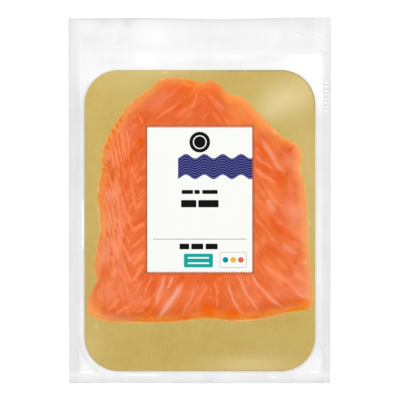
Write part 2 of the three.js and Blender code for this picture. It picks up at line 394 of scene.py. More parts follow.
UNDER_FILM = 0.14  # what lies under the film stays this far below it
SLICE_GAP = 0.005
LABEL_LOW, LABEL_HIGH = (np.array(corner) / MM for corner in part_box("label"))
LABEL_HALF_WIDTH = LABEL_HIGH[0]
LABEL_HALF_LENGTH = (LABEL_HIGH[1] - LABEL_LOW[1]) / 2
LABEL_MIDDLE_Y = (LABEL_HIGH[1] + LABEL_LOW[1]) / 2
LABEL_CROWN = 0.45
LABEL_MARGIN = 1
LABEL_BLEND = 6
LABEL_LIFT = 0.24  # the film and the fish bulge up this much to the label's back


def line_through(turns, steps):
    """A smooth closed line through the turns, with its speed set by the gaps between them."""
    here = np.array(turns, float)
    before, after, beyond = (np.roll(here, k, axis=0) for k in (1, -1, -2))
    gap = np.sqrt(np.linalg.norm(after - here, axis=1))[:, None]
    gap_before, gap_after = np.roll(gap, 1), np.roll(gap, -1)
    leave = (here - before) / gap_before - (after - before) / (gap_before + gap)
    reach = (after - here) / gap - (beyond - here) / (gap + gap_after)
    leave, reach = leave + (after - here) / gap, reach + (beyond - after) / gap_after
    place = np.arange(steps) / steps * len(turns)
    turn, t = place.astype(int), (place % 1)[:, None]
    start, end = here[turn], after[turn]
    leave, reach = (leave * gap)[turn], (reach * gap)[turn]
    curve = 2 * start - 2 * end + leave + reach
    bend = -3 * start + 3 * end - 2 * leave - reach
    return start + t * (leave + t * (bend + t * curve))


smooth_reach = reach_of(line_through(STACK_TURNS, 720))


def stack_reach(direction):
    """The stack's outline, with the small ragged waves of a cut edge."""
    wave = np.sin(61 * direction + 2 * np.sin(7 * direction)) * np.sin(5 * direction + 1)
    fine_wave = np.sin(103 * direction + 3 * np.sin(11 * direction))
    ragged = RAGGED * wave + FINELY_RAGGED * fine_wave
    torn = 1 + TORN * np.exp(-(((direction % TURN - TORN_AT) / TORN_REACH) ** 2))
    return smooth_reach(direction) + torn * ragged


def slice_reach(number, direction):
    """How far one slice reaches in a direction."""
    step, _, bays = SLICES[number]
    reach = stack_reach(direction) - step
    for at, half_width, depth in bays:
        turn = (direction - math.radians(at) + math.pi) % TURN - math.pi
        share = np.minimum(1, np.abs(turn) / math.radians(half_width))
        reach = reach - depth * (1 + np.cos(math.pi * share)) / 2
    return reach


def flake_number(x, y):
    """How many flakes lie between a point and the foot of the fish."""
    steep = 1 - FLAKE_FLATTENING * eased(y, *FLATTENED_ALONG)
    right = x >= MIDDLE_LINE_X
    beyond = np.maximum(0, TURN_LINE_X - x)
    away = np.where(right, x - MIDDLE_LINE_X, MIDDLE_LINE_X - np.maximum(x, TURN_LINE_X))
    flare = steep * (FLAKE_SLOPE * away + FLAKE_FLARE * np.tanh(away / FLAKE_REACH))
    turned = TURN_SLOPE * beyond + TURN_CURL * beyond * beyond
    return np.where(right, (y + flare) / FLAKE_PITCH_RIGHT, (y + flare - turned) / FLAKE_PITCH_LEFT)


def stack_height(x, y, direction, distance, top_slice):
    """The film's height over the slices up to one of them."""
    height = CARD_TOP
    for number in range(top_slice + 1):
        inside = slice_reach(number, direction) - distance
        height = height + SLICE_THICKNESS * eased(inside, 0, SLICES[number][1])
        if number:
            in_bay = eased(stack_reach(direction) - slice_reach(number, direction), 2, 5)
            height = height + EDGE_LIP * in_bay * eased(inside, 0, 0.8) * (1 - eased(inside, 1, 5))
    shown = eased(stack_reach(direction) - distance, RELIEF_START, RELIEF_FULL)
    coarse = 1 - eased(TURN_LINE_X - x, *FINE_MARGIN)
    relief = FLAKE_RELIEF * coarse * np.cos(TURN * flake_number(x, y))
    for rise, wave_x, wave_y, start in SWELL:
        relief = relief + rise * np.sin(x / wave_x + y / wave_y + start)
    return height + shown * relief


def panel_height(x, y):
    """The slightly crowned panel that the label presses into the front."""
    across, along = x / LABEL_HALF_WIDTH, (y - LABEL_MIDDLE_Y) / LABEL_HALF_LENGTH
    return CARD_TOP + len(SLICES) * SLICE_THICKNESS - LABEL_CROWN * (across**4 + along**4)


def past_label(x, y):
    """How far a place lies past the label's side and past its end, below 0 inside them."""
    return np.abs(x) - LABEL_HALF_WIDTH, np.abs(y - LABEL_MIDDLE_Y) - LABEL_HALF_LENGTH


def under_label(x, y):
    """1 under the label, eased down to 0 away from it."""
    past_side, past_end = np.maximum(0, past_label(x, y))
    return 1 - eased(np.hypot(past_side, past_end), 0, LABEL_BLEND)


def front_height(x, y, direction, distance, top_slice=len(SLICES) - 1):
    """The film's height over the fish and the card, pressed flat under the label."""
    pressed = under_label(x, y)
    half_x, half_y = LABEL_HALF_WIDTH + LABEL_MARGIN, LABEL_HALF_LENGTH + LABEL_MARGIN
    panel = panel_height(
        np.clip(x, -half_x, half_x),
        np.clip(y, LABEL_MIDDLE_Y - half_y, LABEL_MIDDLE_Y + half_y),
    )
    below = (len(SLICES) - 1 - top_slice) * SLICE_THICKNESS
    free = stack_height(x, y, direction, distance, top_slice)
    return free + pressed * (panel + LABEL_LIFT - below - free)


def label_reach(direction):
    """How far the pressed panel round the label reaches in a direction."""
    c, s = np.abs(np.cos(direction)), np.sin(direction)
    along = LABEL_HALF_LENGTH + LABEL_MARGIN + np.sign(s) * (LABEL_MIDDLE_Y - STACK_MIDDLE[1])
    to_side = (LABEL_HALF_WIDTH + LABEL_MARGIN) / np.maximum(c, 1e-9)
    return np.minimum(to_side, along / np.maximum(np.abs(s), 1e-9))


# How each slice is meshed. Its rings are close together on the band that can be seen: past the
# label on the top slice and near the edge on the others.
TOP_SLICE_STEPS, TOP_SLICE_RINGS = 1200, 66
LOWER_SLICE_STEPS, LOWER_SLICE_RINGS = 720, 30
LAP_UNDER_LABEL, LAP_UNDER_SLICE = 4, 18  # how far in the close rings start
CORE_GAPS = 6
BACK_EVERY = 6  # the hidden back has one ring for so many on the top


def slice_skin(number, around, fine_rings):
    """One slice: its top over the slices below it, thinning out to nothing at its edge."""
    own = slice_reach(number, around)
    top_one = number == len(SLICES) - 1
    start = label_reach(around) - LAP_UNDER_LABEL if top_one else own - LAP_UNDER_SLICE
    shares = [*np.linspace(-1, 0, CORE_GAPS)[1:-1], *np.linspace(0, 1, fine_rings + 1)]

    def at(share):
        return start * (1 + share) if share < 0 else start + share * (own - start)

    def top(x, y, direction, distance):
        return front_height(x, y, direction, distance, number) - UNDER_FILM

    def bottom(x, y, direction, distance):
        if number == 0:
            return CARD_TOP - UNDER_FILM
        return front_height(x, y, direction, distance, number - 1) - UNDER_FILM - SLICE_GAP

    face = [ring(lambda d, s=share: at(s), top, around) for share in shares]
    under = shares[-2::-BACK_EVERY]
    back = [ring(lambda d, s=share: at(s), bottom, around) for share in under]
    return skin_of_rings(face + back)


# The marks in the flesh, each as its turns, its half width and its strength. First the broad fat
# lines that stand out most: pale, with a painted lilac sheen along their strongest crests.
FAT_AND_SHEEN_LINES = [
    ([(-0.8, 65.4), (-2.2, 62), (-3.6, 58), (-5, 55.6)], 0.8, 0.55),
    ([(36.4, 37), (40.2, 32.2), (43.2, 27.6), (45.6, 21.5), (48.4, 18.8), (51.2, 16.8)], 1.2, 0.68),
    ([(40.2, 0.4), (42.8, -3.4), (45, -6.9)], 1.4, 0.74),
    ([(56.6, -54), (61.3, -57.6), (66, -58.6)], 0.9, 0.75),
    ([(31, -45), (33, -49), (38, -54.7), (44, -60.3), (49.8, -64.9)], 0.85, 0.75),
    ([(22, -44.4), (25.4, -49.7), (27.2, -55.3), (31.6, -61.7), (36.9, -68.6)], 0.7, 0.7),
    ([(16.3, -48.5), (18.4, -55), (20.8, -61.3), (23.8, -66), (27.4, -71.4)], 0.7, 0.75),
    ([(-10.2, -50.4), (-13.4, -55), (-17, -60.2), (-20.4, -65), (-25.6, -71.8)], 1.9, 0.9),
    ([(-21, -45.2), (-21.8, -49.5), (-24.2, -54), (-25.4, -59.5), (-26.2, -63)], 1.3, 0.7),
    ([(-16.3, -45.5), (-17.8, -50), (-19.7, -52.8)], 0.8, 0.8),
    ([(-2.6, -51), (-4.2, -56), (-6.3, -61.5), (-9.6, -66.5), (-11.8, -71)], 0.9, 0.55),
    ([(9.8, 59.2), (12, 56.6), (14.6, 54.4)], 1.1, 0.6),
    ([(49.6, -26), (54, -29.6), (58.6, -32.8)], 1.5, 0.5),
    ([(-50.2, -38.5), (-50.1, -43), (-52, -45.6)], 0.8, 0.45), ([(-54, 5), (-53.4, 0)], 1.0, 0.4),
]
# Paler lines between the flakes: the V-shaped turns on the left, the fine fibres along the left
# edge, and single lines at the head, on the right and at the foot.
PALE_LINES = [
    ([(-38.8, 9.4), (-33.6, 14.6)], 1.0, 0.6), ([(-36.8, 3), (-33, 7.6)], 0.6, 0.55),
    ([(-39.4, -6), (-33.8, -0.6)], 1.3, 0.5),
    ([(-40.2, -18.3), (-37, -15.8), (-33.4, -14)], 1.1, 0.7),
    ([(-40.8, -28.6), (-36.4, -25.4), (-33, -22)], 1.1, 0.45),
    ([(-40.6, -38.8), (-36.4, -34.4), (-32.4, -29.6)], 1.4, 0.8),
    ([(-40.3, -49.8), (-36.9, -43.4), (-33.6, -38.8)], 1.2, 0.7),
    ([(-38.8, -56), (-34.4, -48)], 0.7, 0.55),
    ([(-33.6, -56), (-30.4, -50), (-28.5, -45.5)], 0.7, 0.55),
    ([(-46.2, -3), (-42.6, -10), (-40.2, -18.5)], 0.8, 0.65),
    ([(-48.6, -20), (-46.4, -28)], 0.7, 0.55), ([(-44, -20.5), (-42.2, -27.5)], 0.7, 0.55),
    ([(-44.4, -29.5), (-40.5, -38.6)], 0.8, 0.75),
    ([(-46.4, -37), (-44, -43.5), (-40.6, -49.8)], 0.8, 0.75),
    ([(-48.4, -40), (-46.6, -45.6), (-43, -50)], 0.7, 0.6),
    ([(-43.5, 33), (-41, 20), (-37.5, 11)], 0.7, 0.45),
    ([(-42, 12), (-39.4, 2), (-38, -4)], 0.7, 0.5),
    ([(-44.6, 51), (-43.8, 42), (-42.4, 30)], 0.6, 0.7),
    ([(-46.8, 50), (-46, 38), (-43.6, 24)], 0.6, 0.7),
    ([(-48.6, 48), (-47.4, 38), (-45.2, 28)], 0.6, 0.75),
    ([(-50.4, 41), (-48.8, 32), (-46, 22)], 0.6, 0.7),
    ([(-52, 37), (-50.6, 28), (-48.6, 19)], 0.6, 0.75),
    ([(-53.6, 33), (-52.2, 23), (-51.8, 18)], 0.6, 0.6), ([(-54.8, 31), (-54, 24.5)], 0.9, 0.6),
    ([(-55.8, 16.5), (-54.6, 12), (-52.6, 8)], 0.6, 0.7),
    ([(-50, 12), (-48.2, 8), (-46.8, 4)], 0.6, 0.6), ([(-56, 7), (-55.4, 1)], 0.7, 0.7),
    ([(-51.8, 8), (-51, 2)], 0.7, 0.6), ([(-56.6, 0), (-54.8, -6), (-53.8, -15.5)], 0.6, 0.9),
    ([(-49.4, -27), (-49.6, -34)], 0.6, 0.8), ([(-58, -47), (-58.8, -55)], 0.7, 0.75),
    ([(-60.8, -50), (-61.4, -58)], 0.6, 0.6), ([(-57.4, -11.5), (-56, -16.3)], 0.6, 0.6),
    ([(-57.4, -21.4), (-55, -24)], 0.6, 0.6), ([(-51.8, -14), (-51.6, -25)], 0.5, 0.6),
    ([(-46.6, 2), (-45.6, -8)], 0.5, 0.5),
    ([(-55.4, -66.8), (-51, -62.6), (-46.6, -58.6)], 1.1, 0.6),
    ([(-50.6, -68.6), (-46.4, -65.6), (-41.4, -63)], 0.9, 0.6),
    ([(-38, -66.6), (-33, -66), (-30.8, -62)], 0.7, 0.5),
    ([(-44, -68), (-37, -70.2), (-31, -68.4)], 0.5, 0.5),
    ([(-6.5, 55.3), (-9.8, 53.3), (-13.5, 50.3)], 0.9, 0.55),
    ([(-9.6, 58.8), (-14.6, 56.2), (-20, 53.4), (-27.4, 48)], 0.6, 0.75),
    ([(-16, 55), (-22, 51.4)], 0.5, 0.5), ([(4.6, 63), (8.4, 60.8)], 0.7, 0.35),
    ([(15, 54.4), (20.5, 50.5)], 1.0, 0.35), ([(0.9, 47.9), (4.9, 52)], 0.6, 0.55),
    ([(12.9, 50), (17.6, 46.2)], 0.6, 0.3), ([(-13.6, 45.2), (-9.6, 47.8)], 0.7, 0.7),
    ([(-36.8, 50), (-33.6, 45.5)], 0.8, 0.6),
    ([(33.2, 27.4), (36.6, 23), (40, 20.8), (44.4, 18.4)], 0.9, 0.7),
    ([(33, 31), (36, 28.6)], 0.7, 0.45),
    ([(33, 19.4), (37, 15), (41.4, 13), (46.4, 9.6)], 1.0, 0.75), ([(36, 7), (39.6, 1)], 1.3, 0.4),
    ([(33.3, -11), (37.8, -16.4)], 0.8, 0.65), ([(57, -18.6), (60, -21), (62.8, -24.8)], 1.1, 0.6),
    ([(37.4, -38), (42.6, -42.8), (49, -47), (56, -49)], 1.9, 0.6),
    ([(60, 14), (62.4, 8)], 1.0, 0.4), ([(53.6, -49), (57, -52.6), (60.6, -54)], 1.2, 0.4),
    ([(45, -12), (50, -15)], 1.2, 0.3), ([(9.2, -48.6), (10, -56), (10.4, -64)], 0.6, 0.7),
    ([(-1, -60.6), (1.6, -55.6), (4.6, -52)], 0.8, 0.5), ([(4.6, -54.6), (8.4, -58.8)], 0.6, 0.25),
    ([(-0.4, -62), (-2.4, -66)], 0.9, 0.35), ([(2, -50), (7.5, -56)], 0.7, 0.35),
]
# Hollows between the flakes and folds of the edge, where the flesh is a deeper orange.
DEEP_LINES = [
    ([(36.6, 21.4), (42, 17.6), (50, 15.4)], 1.3, 0.5), ([(49, 13), (49.8, 6)], 1.2, 0.4),
    ([(41.4, -9), (45.6, -16.6), (50, -20.4), (56.6, -24.4)], 1.5, 0.55),
    ([(34.2, 34.8), (37, 30.6), (40.6, 25)], 1.6, 0.7), ([(50.6, 36.5), (52.4, 31.6)], 1.6, 0.25),
    ([(34.7, -30), (38.8, -34.5)], 1.0, 0.7), ([(51.6, -37.8), (53.8, -41), (55.6, -45)], 0.7, 0.5),
    ([(5.5, -62), (7.8, -68.4)], 1.4, 0.5), ([(18.4, -64.5), (20.4, -70)], 1.2, 0.5),
    ([(-13, -70.4), (-5, -70.2)], 1.1, 0.7), ([(-33.5, -66.4), (-28.8, -63.6)], 1.2, 0.9),
    ([(-34, -69.7), (-30, -70)], 1.0, 0.9), ([(7.5, -45), (13.5, -45.4)], 1.4, 0.7),
    ([(-9.8, 57.6), (-15.2, 54.4)], 1.4, 0.8), ([(-11, 55.2), (-8, 55.6)], 0.8, 0.5),
    ([(-66.2, -58.5), (-67, -62)], 1.3, 0.7), ([(-60.8, -48), (-63.6, -56)], 1.2, 0.6),
    ([(-35.6, 38), (-34.4, 31)], 2.0, 0.8), ([(-39.4, 31), (-38, 25)], 1.2, 0.6),
    ([(-41.2, 19), (-41, 29)], 0.9, 0.85), ([(-44, 23.5), (-44.4, 18)], 0.9, 0.8),
    ([(-44.6, 10), (-43.4, 5.4)], 1.3, 0.6), ([(-52.6, 16), (-51.4, 10.4)], 0.6, 0.9),
    ([(-53.4, 14.6), (-52.6, 11.4)], 0.7, 0.8), ([(-54.8, 10.6), (-54.2, 7.6)], 0.6, 0.7),
    ([(-51.2, 20), (-51, 14)], 0.4, 0.7), ([(-53.8, -2.6), (-53.2, -5.4)], 0.8, 0.6),
    ([(-42.6, -14), (-42.6, -19.5)], 0.9, 0.7), ([(-45.6, -21.5), (-45, -25)], 0.9, 0.7),
    ([(-49.6, -7), (-48.6, -12)], 0.5, 0.6), ([(-52.8, -14), (-52.6, -24)], 0.5, 0.5),
    ([(-50.4, -16), (-50, -25)], 0.5, 0.5), ([(-55.4, -18), (-54.6, -22.4)], 0.7, 0.7),
    ([(-37.6, 0.6), (-36.6, -2)], 1.0, 0.6),
    ([(-56.4, -67.8), (-51.6, -66.4), (-47.4, -63.8)], 0.8, 0.45),
    ([(-46.6, -62.2), (-43, -60.8)], 0.7, 0.6), ([(-42.6, -69), (-36, -68.2)], 0.9, 0.6),
    ([(-32.6, -52.4), (-30.6, -46)], 0.8, 0.6), ([(-20.6, -48.4), (-19.6, -52)], 0.6, 0.9),
    ([(-12.4, -47), (-9.4, -45)], 1.4, 0.7), ([(-28, -50), (-29, -60)], 1.0, 0.5),
    ([(-28.6, -46), (-25.4, -45.4)], 1.2, 0.6), ([(53.6, -60.4), (63, -61.6)], 1.4, 0.4),
    ([(66, -60), (66, -62.6)], 1.4, 0.3), ([(31, -70.4), (34, -69.6)], 1.3, 0.7),
    ([(36.6, -66), (40, -67.8)], 1.6, 0.7), ([(8.2, -58), (8.8, -52)], 0.8, 0.5),
    ([(-8, 71), (-2, 70.2)], 1.2, 0.7), ([(0.6, 66), (1.8, 64)], 1.4, 0.7),
    ([(-37, 49.4), (-37.4, 45)], 1.2, 0.7), ([(56, -35.6), (58.6, -38.4)], 1.6, 0.6),
    ([(-48, 51), (-46.8, 46.4)], 0.8, 0.9), ([(-50.4, 46.6), (-49, 43.4)], 0.8, 0.9),
    ([(-52.4, 42.6), (-51, 38.8)], 0.9, 0.9), ([(-54.6, 38), (-53, 34.6)], 0.7, 0.8),
    ([(-56.8, 33.6), (-54.8, 29.6)], 1.0, 0.9), ([(-57.6, 19.6), (-57.8, 15)], 0.9, 0.5),
    ([(33.2, -43.6), (34.2, -48.4)], 0.5, 0.8), ([(27, -48), (27.4, -50.4)], 0.4, 0.6),
]
# Brown nicks and specks.
NICKS = [
    ([(-54.4, 23.4), (-53.2, 22)], 0.6, 0.8), ([(-53, 16.5), (-51.9, 12)], 0.35, 0.5),
    ([(-51.2, 13), (-51, 10)], 0.3, 0.5), ([(-55, -20), (-54.6, -22.6)], 0.5, 0.6),
    ([(-46.6, 8), (-46.4, 6.6)], 0.35, 0.5), ([(-53.5, -31), (-53, -34)], 0.6, 0.55),
    ([(-50, -37.6), (-49.8, -38.4)], 0.5, 0.7), ([(-61.2, 3.4), (-60.3, 1.4)], 0.9, 0.8),
    ([(55, 31.6), (53.8, 29)], 0.7, 0.8), ([(-57.4, -47), (-57, -48)], 0.4, 0.5),
    ([(57.4, 32.8), (55, 31)], 0.5, 0.7), ([(51.6, 16), (53.6, 14.8)], 0.7, 0.6),
    ([(-43.4, 24), (-43.2, 23)], 0.4, 0.6), ([(40.4, 43.4), (42.2, 43.6)], 0.5, 0.7),
    ([(3.2, 71), (3.7, 70.6)], 0.6, 0.6), ([(10, -57.8), (10.6, -58.6)], 0.5, 0.5),
    ([(35.4, -46.8), (36, -48.8)], 0.5, 0.7), ([(39.2, -26.4), (39.8, -28.4)], 0.35, 0.5),
    ([(44.2, -29), (44.8, -33)], 0.35, 0.55), ([(45.4, -4.8), (45.6, -5.6)], 0.4, 0.4),
    ([(46, -17), (46.8, -17.8)], 0.5, 0.4),
]
# Painted glints: yellow-white highlights along the edge, where the film bridging down from it
# catches the light.
EDGE_GLINTS = [
    ([(-31.5, 66.4), (-29.6, 68.4)], 0.5, 0.7), ([(-28.4, 70.2), (-25.6, 72)], 0.5, 0.9),
    ([(-24.4, 72.2), (-21, 72.6)], 0.4, 0.5), ([(-34.6, 64), (-33, 65.4)], 0.4, 0.5),
    ([(-41.4, 57.2), (-39.6, 58.6)], 0.5, 0.5), ([(-58.8, 33), (-59.2, 30)], 0.6, 0.9),
    ([(-59, 28), (-58.4, 25.6)], 0.6, 0.8), ([(-60.6, 9), (-61, 4.6)], 0.7, 0.7),
    ([(-60.8, -3), (-60.6, -13)], 0.6, 0.7), ([(-59.9, -15), (-60, -19)], 0.7, 0.6),
    ([(63, -36.6), (64.2, -38)], 0.5, 0.8), ([(57.6, 30), (58.2, 28)], 0.6, 0.25),
    ([(66.4, -58.4), (65.4, -59.4)], 0.5, 0.6), ([(-3, 72.4), (4, 71.8)], 0.4, 0.4),
    ([(44, 42), (47, 39.6)], 0.5, 0.5), ([(60.2, 22), (61.2, 14)], 0.5, 0.4),
    ([(20, -72.4), (34, -72)], 0.5, 0.6), ([(-50, -73), (-30, -73.6)], 0.5, 0.5),
]
# Thin flesh near the edge, clear enough to glow amber.
AMBER_LINES = [
    ([(9, 68.6), (14, 63.6), (20, 59.4), (27, 55), (33, 49.6), (39, 45), (44, 40.4)], 3.4, 0.6),
    ([(-65.4, -63), (-63.5, -67), (-59, -69)], 3.2, 0.8),
    ([(51, -66), (60, -65.2), (66.4, -62)], 2.2, 1.0),
    ([(-40, -71.8), (-26, -71.6), (-12, -71)], 1.8, 0.9),
    ([(-8, -70), (4, -68.8), (14, -69), (24, -70.6), (38, -68.6)], 2.6, 0.9),
    ([(38, -68.4), (48, -66.4)], 2.0, 0.8), ([(-59, 19), (-60, 5)], 1.8, 0.8),
    ([(-59.4, 4), (-58.6, -8), (-58.2, -21)], 1.6, 0.3), ([(-61.8, -34), (-62.6, -42)], 1.6, 0.6),
    ([(-57.8, 30), (-57.8, 22)], 1.3, 0.8), ([(59.4, 30), (59.8, 20), (62, 8)], 1.4, 0.3),
    ([(-34, 63), (-28, 67), (-24, 71)], 2.0, 0.8), ([(-12, 70.8), (-2, 70.2), (6, 70)], 2.2, 0.8),
    ([(41, 38), (47, 33)], 3.4, 0.3), ([(-46, 51), (-52, 42), (-57, 31)], 2.2, 0.9),
    ([(-34, 62), (-41, 56), (-47, 49)], 1.8, 0.6), ([(21, -55), (23.6, -59)], 1.4, 0.35),
    ([(-61.6, -50), (-64, -56)], 1.3, 0.5),
]
# Broad pale edges, painted paler as a glow where the thin flesh lets the light of the card through.
EDGE_GLOW_BANDS = [
    ([(60.6, 28), (59.8, 20), (62, 8), (64, -8), (65.4, -30), (66.4, -50), (67, -60)], 3.6, 0.6),
    ([(-59, -4), (-59.2, -22), (-61.6, -36), (-61, -46)], 3.4, 0.6),
    ([(-61, -46), (-65.4, -58), (-65, -68)], 2.6, 0.4),
    ([(-65, -68), (-55, -71.6), (-42, -72.4)], 2.6, 0.4),
]
# Small pale and deep streaks that run along the flakes: low and high corner of the field, how
# many, their lengths, their half widths and how strong they are.
STREAK_FIELDS = [
    ((-60, -34), (-44, 52), 130, (4, 11), (0.35, 0.7), 0.75),
    ((-60, -72), (-31, -30), 76, (4, 12), (0.5, 1.2), 0.5),
    ((-46, -30), (-31, 50), 50, (4, 12), (0.4, 0.9), 0.35),
    ((32, -66), (64, 40), 44, (6, 20), (0.9, 2.4), 0.36),
    ((-40, -73), (40, -44), 34, (6, 16), (0.8, 2.0), 0.36),
    ((-42, 44), (34, 72), 34, (5, 15), (0.7, 1.9), 0.34),
]
STREAK_SEED = 11
STREAK_STEP = 1.0
THIN_ENDS, FAINT_ENDS = 0.45, 0.35  # how wide and how strong a stroke still is at its ends
END_RUN = 0.3  # the share of its length over which it gets so


def softened(turns, rounds=3):
    """A line through the turns with its corners cut to a curve."""
    line = np.array(turns, float)
    for _ in range(rounds if len(line) > 2 else 0):
        near, far = 0.75 * line[:-1] + 0.25 * line[1:], 0.25 * line[:-1] + 0.75 * line[1:]
        line = np.vstack([line[:1], np.stack([near, far], axis=1).reshape(-1, 2), line[-1:]])
    return line


def along_flakes(x, y, lengths):
    """Lines that follow the flakes through each of the points, each as long as it should be."""
    line = [np.column_stack([x, y])]
    heading = np.zeros_like(line[0])
    for _ in range(int(lengths.max() / STREAK_STEP)):
        px, py = line[-1].T
        slope_x = flake_number(px + 0.1, py) - flake_number(px - 0.1, py)
        slope_y = flake_number(px, py + 0.1) - flake_number(px, py - 0.1)
        way = np.column_stack([-slope_y, slope_x]) / np.hypot(slope_x, slope_y)[:, None]
        way *= np.where((way * heading).sum(axis=1) < 0, -1, 1)[:, None]
        heading = way
        line.append(line[-1] + STREAK_STEP * way)
    counts = [max(3, int(length / STREAK_STEP)) for length in lengths]
    return [path[:count] for path, count in zip(np.stack(line, axis=1), counts)]


def streaks():
    """The small pale and deep streaks, as line, half width and strength, in two lists."""
    draw = np.random.default_rng(STREAK_SEED)
    pale, deep = [], []
    for low, high, count, lengths, half_widths, strength in STREAK_FIELDS:
        x, y = draw.uniform(low, high, (count, 2)).T
        paths = along_flakes(x, y, draw.uniform(*lengths, count))
        widths = draw.uniform(*half_widths, count)
        strengths = strength * draw.uniform(0.4, 1, count)
        for k, stroke in enumerate(zip(paths, widths, strengths)):
            (deep if k % 3 == 0 else pale).append(stroke)
    return pale, deep


def strokes(x, y, lines):
    """How strongly any of the lines, a little wavy, passes through each point, from 0 to 1."""
    field = np.zeros_like(x)
    x = x + 0.2 * np.sin(x / 2.3 + y / 3.1) + 0.12 * np.sin(y / 1.1 - x / 2.9)
    y = y + 0.2 * np.sin(y / 2.9 - x / 2.7) + 0.12 * np.sin(x / 1.3 + y / 3.1)
    for turns, half_width, strength in lines:
        line = softened(turns)
        margin = 3 * half_width
        low, high = line.min(axis=0) - margin, line.max(axis=0) + margin
        close = (x > low[0]) & (x < high[0]) & (y > low[1]) & (y < high[1])
        px, py = x[close], y[close]
        nearest, along = np.full(px.shape, 1e9), np.zeros(px.shape)
        for k, (start, way) in enumerate(zip(line[:-1], np.diff(line, axis=0))):
            off_x, off_y = px - start[0], py - start[1]
            share = np.clip((off_x * way[0] + off_y * way[1]) / (way @ way), 0, 1)
            gap = np.hypot(off_x - share * way[0], off_y - share * way[1])
            nearer = gap < nearest
            nearest[nearer] = gap[nearer]
            along[nearer] = (k + share[nearer]) / (len(line) - 1)
        full = eased(along, 0, END_RUN) * eased(1 - along, 0, END_RUN)
        width = half_width * (THIN_ENDS + (1 - THIN_ENDS) * full)
        faded = strength * (FAINT_ENDS + (1 - FAINT_ENDS) * full)
        mark = faded * np.exp(-((nearest / width) ** 2))
        field[close] = np.maximum(field[close], mark)
    return field


pale_streaks, deep_streaks = streaks()
# Where the flesh is paler and pinker, where it is more amber and where it is deeper.
PINK_PATCHES = [
    (-53.5, 4, 4, 6, 0.55), (-52, -10, 7, 12, 0.6), (-47, -14, 4, 7, 0.15), (-50, -30, 8, 12, 0.5),
    (-58, -34, 3.5, 5, 0.6), (-50, -42, 6, 8, 0.15), (-46, -55, 9, 7, 0.4), (-42, -63, 6, 3, 0.15),
    (-34, -60, 4.5, 4, 0.35), (-57, -56, 5, 5, 0.4), (-54, 26, 2.5, 3, 0.6), (-45, 42, 5, 9, 0.3),
    (-28, 60, 8, 5, 0.3), (-20, 64, 7, 4, 0.15), (55, 23, 5, 5, 0.55), (58, -7, 5, 6, 0.7),
    (53, -6, 5, 8, 0.35), (43, -4, 4, 4, 0.3), (63, -21, 4, 7, 0.5), (50, -48, 7, 4.5, 0.45),
    (57, -47, 5, 5, 0.35), (34, -27, 3, 5, 0.4), (53, -29, 4, 3, 0.3), (60, -38, 4, 5, 0.3),
    (-62, -67, 4, 3, 0.5), (-22, -57, 4, 6, 0.3), (28, -51, 3.5, 4, 0.3), (33, -60, 3.5, 5, 0.3),
    (16, -56, 3, 6, 0.2), (24, -56, 3, 4, 0.3), (54.5, 9, 2.5, 6, 0.3), (40, 30, 4, 6, 0.35),
    (48, -56, 7, 4, 0.35), (58, -54, 5, 4, 0.3), (64, -56, 4, 4.5, 0.7), (62, -46, 4, 6, 0.35),
    (41, -46, 5, 5, 0.25), (30, -47, 4, 4, 0.2), (-54, -69, 6, 2.5, 0.35),
    (-5, 55.6, 2.5, 1.6, 0.2), (57, -15, 3, 3, 0.3), (-35, -1, 3, 3, 0.3), (-40, 57, 6, 3, 0.3),
]
AMBER_PATCHES = [
    (-60, -58, 3, 4, 0.25), (-62.5, -66, 5, 5, 0.95), (23.5, 52, 8, 8, 0.75), (34, 45, 6, 6, 0.8),
    (45, 35, 6, 4, 0.3), (0, 69.6, 14, 2, 0.2), (47, -39, 6, 4, 0.25), (46, 4, 4, 3, 0.3),
    (24, -57, 3, 4, 0.25), (2, 65, 3, 3, 0.2), (60, -62, 7, 3, 0.6),
]
# Broad glowing spots of the deepest orange.
EMBER_PATCHES = [
    (5, -65.5, 4.5, 4.5, 0.9), (20, -68, 4.5, 3, 0.85), (-9, -70.5, 5, 1.6, 0.8),
    (59, -60.6, 6, 2.4, 0.5), (35, -70, 6, 1.6, 0.4), (49.5, 12, 3.5, 4.5, 0.5),
    (3, 64, 13, 8, 0.28), (-10, 58, 9, 5, 0.12), (13, 52, 6, 5, 0.25), (-15, 69, 12, 4, 0.2),
    (-31, -68, 4, 3, 0.3),
]
# Deeper patches of the flesh; the strips of them just beside the label also stand in for its shade,
# as painted shade.
DEEP_PATCHES = [
    (36, -18, 4, 6, 0.8), (37, 8, 4, 4, 0.4), (46, -18, 5, 4, 0.6), (47.5, 11, 4.5, 5, 0.5),
    (8, -57, 4, 6, 0.35), (-35, 15, 3, 9, 0.6), (-34.5, 33, 3, 7, 0.6), (-34, 0, 2.5, 12, 0.4),
    (-34.5, -45, 4, 4, 0.7), (-28, -50, 3, 5, 0.6), (4, -47, 9, 3, 0.8), (53, 32.5, 2.5, 2.5, 0.6),
    (17, 49, 5, 2.5, 0.3), (-26, 50, 9, 3, 0.7), (-14, 47, 7, 2, 0.4), (38, -32, 3, 4, 0.3),
    (38, -67, 3.5, 2.5, 0.5), (-40, -69, 6, 1.5, 0.3), (14, -62, 3, 4, 0.4), (-17, -66, 5, 3, 0.3),
    (5, 48.5, 8, 3, 0.5), (-10, -47, 4, 2, 0.5), (44, -38, 4, 3, 0.2), (36, 22, 3, 4, 0.4),
    (47, 15, 4, 2.5, 0.4), (-13, 55, 4, 2.5, 0.4), (6, -65, 5, 4, 0.5), (20, -68, 4, 3, 0.5),
    (58, -60.5, 5, 3, 0.4), (-41, 26, 2, 4, 0.3), (-43, -46, 8, 6, 0.3),
]


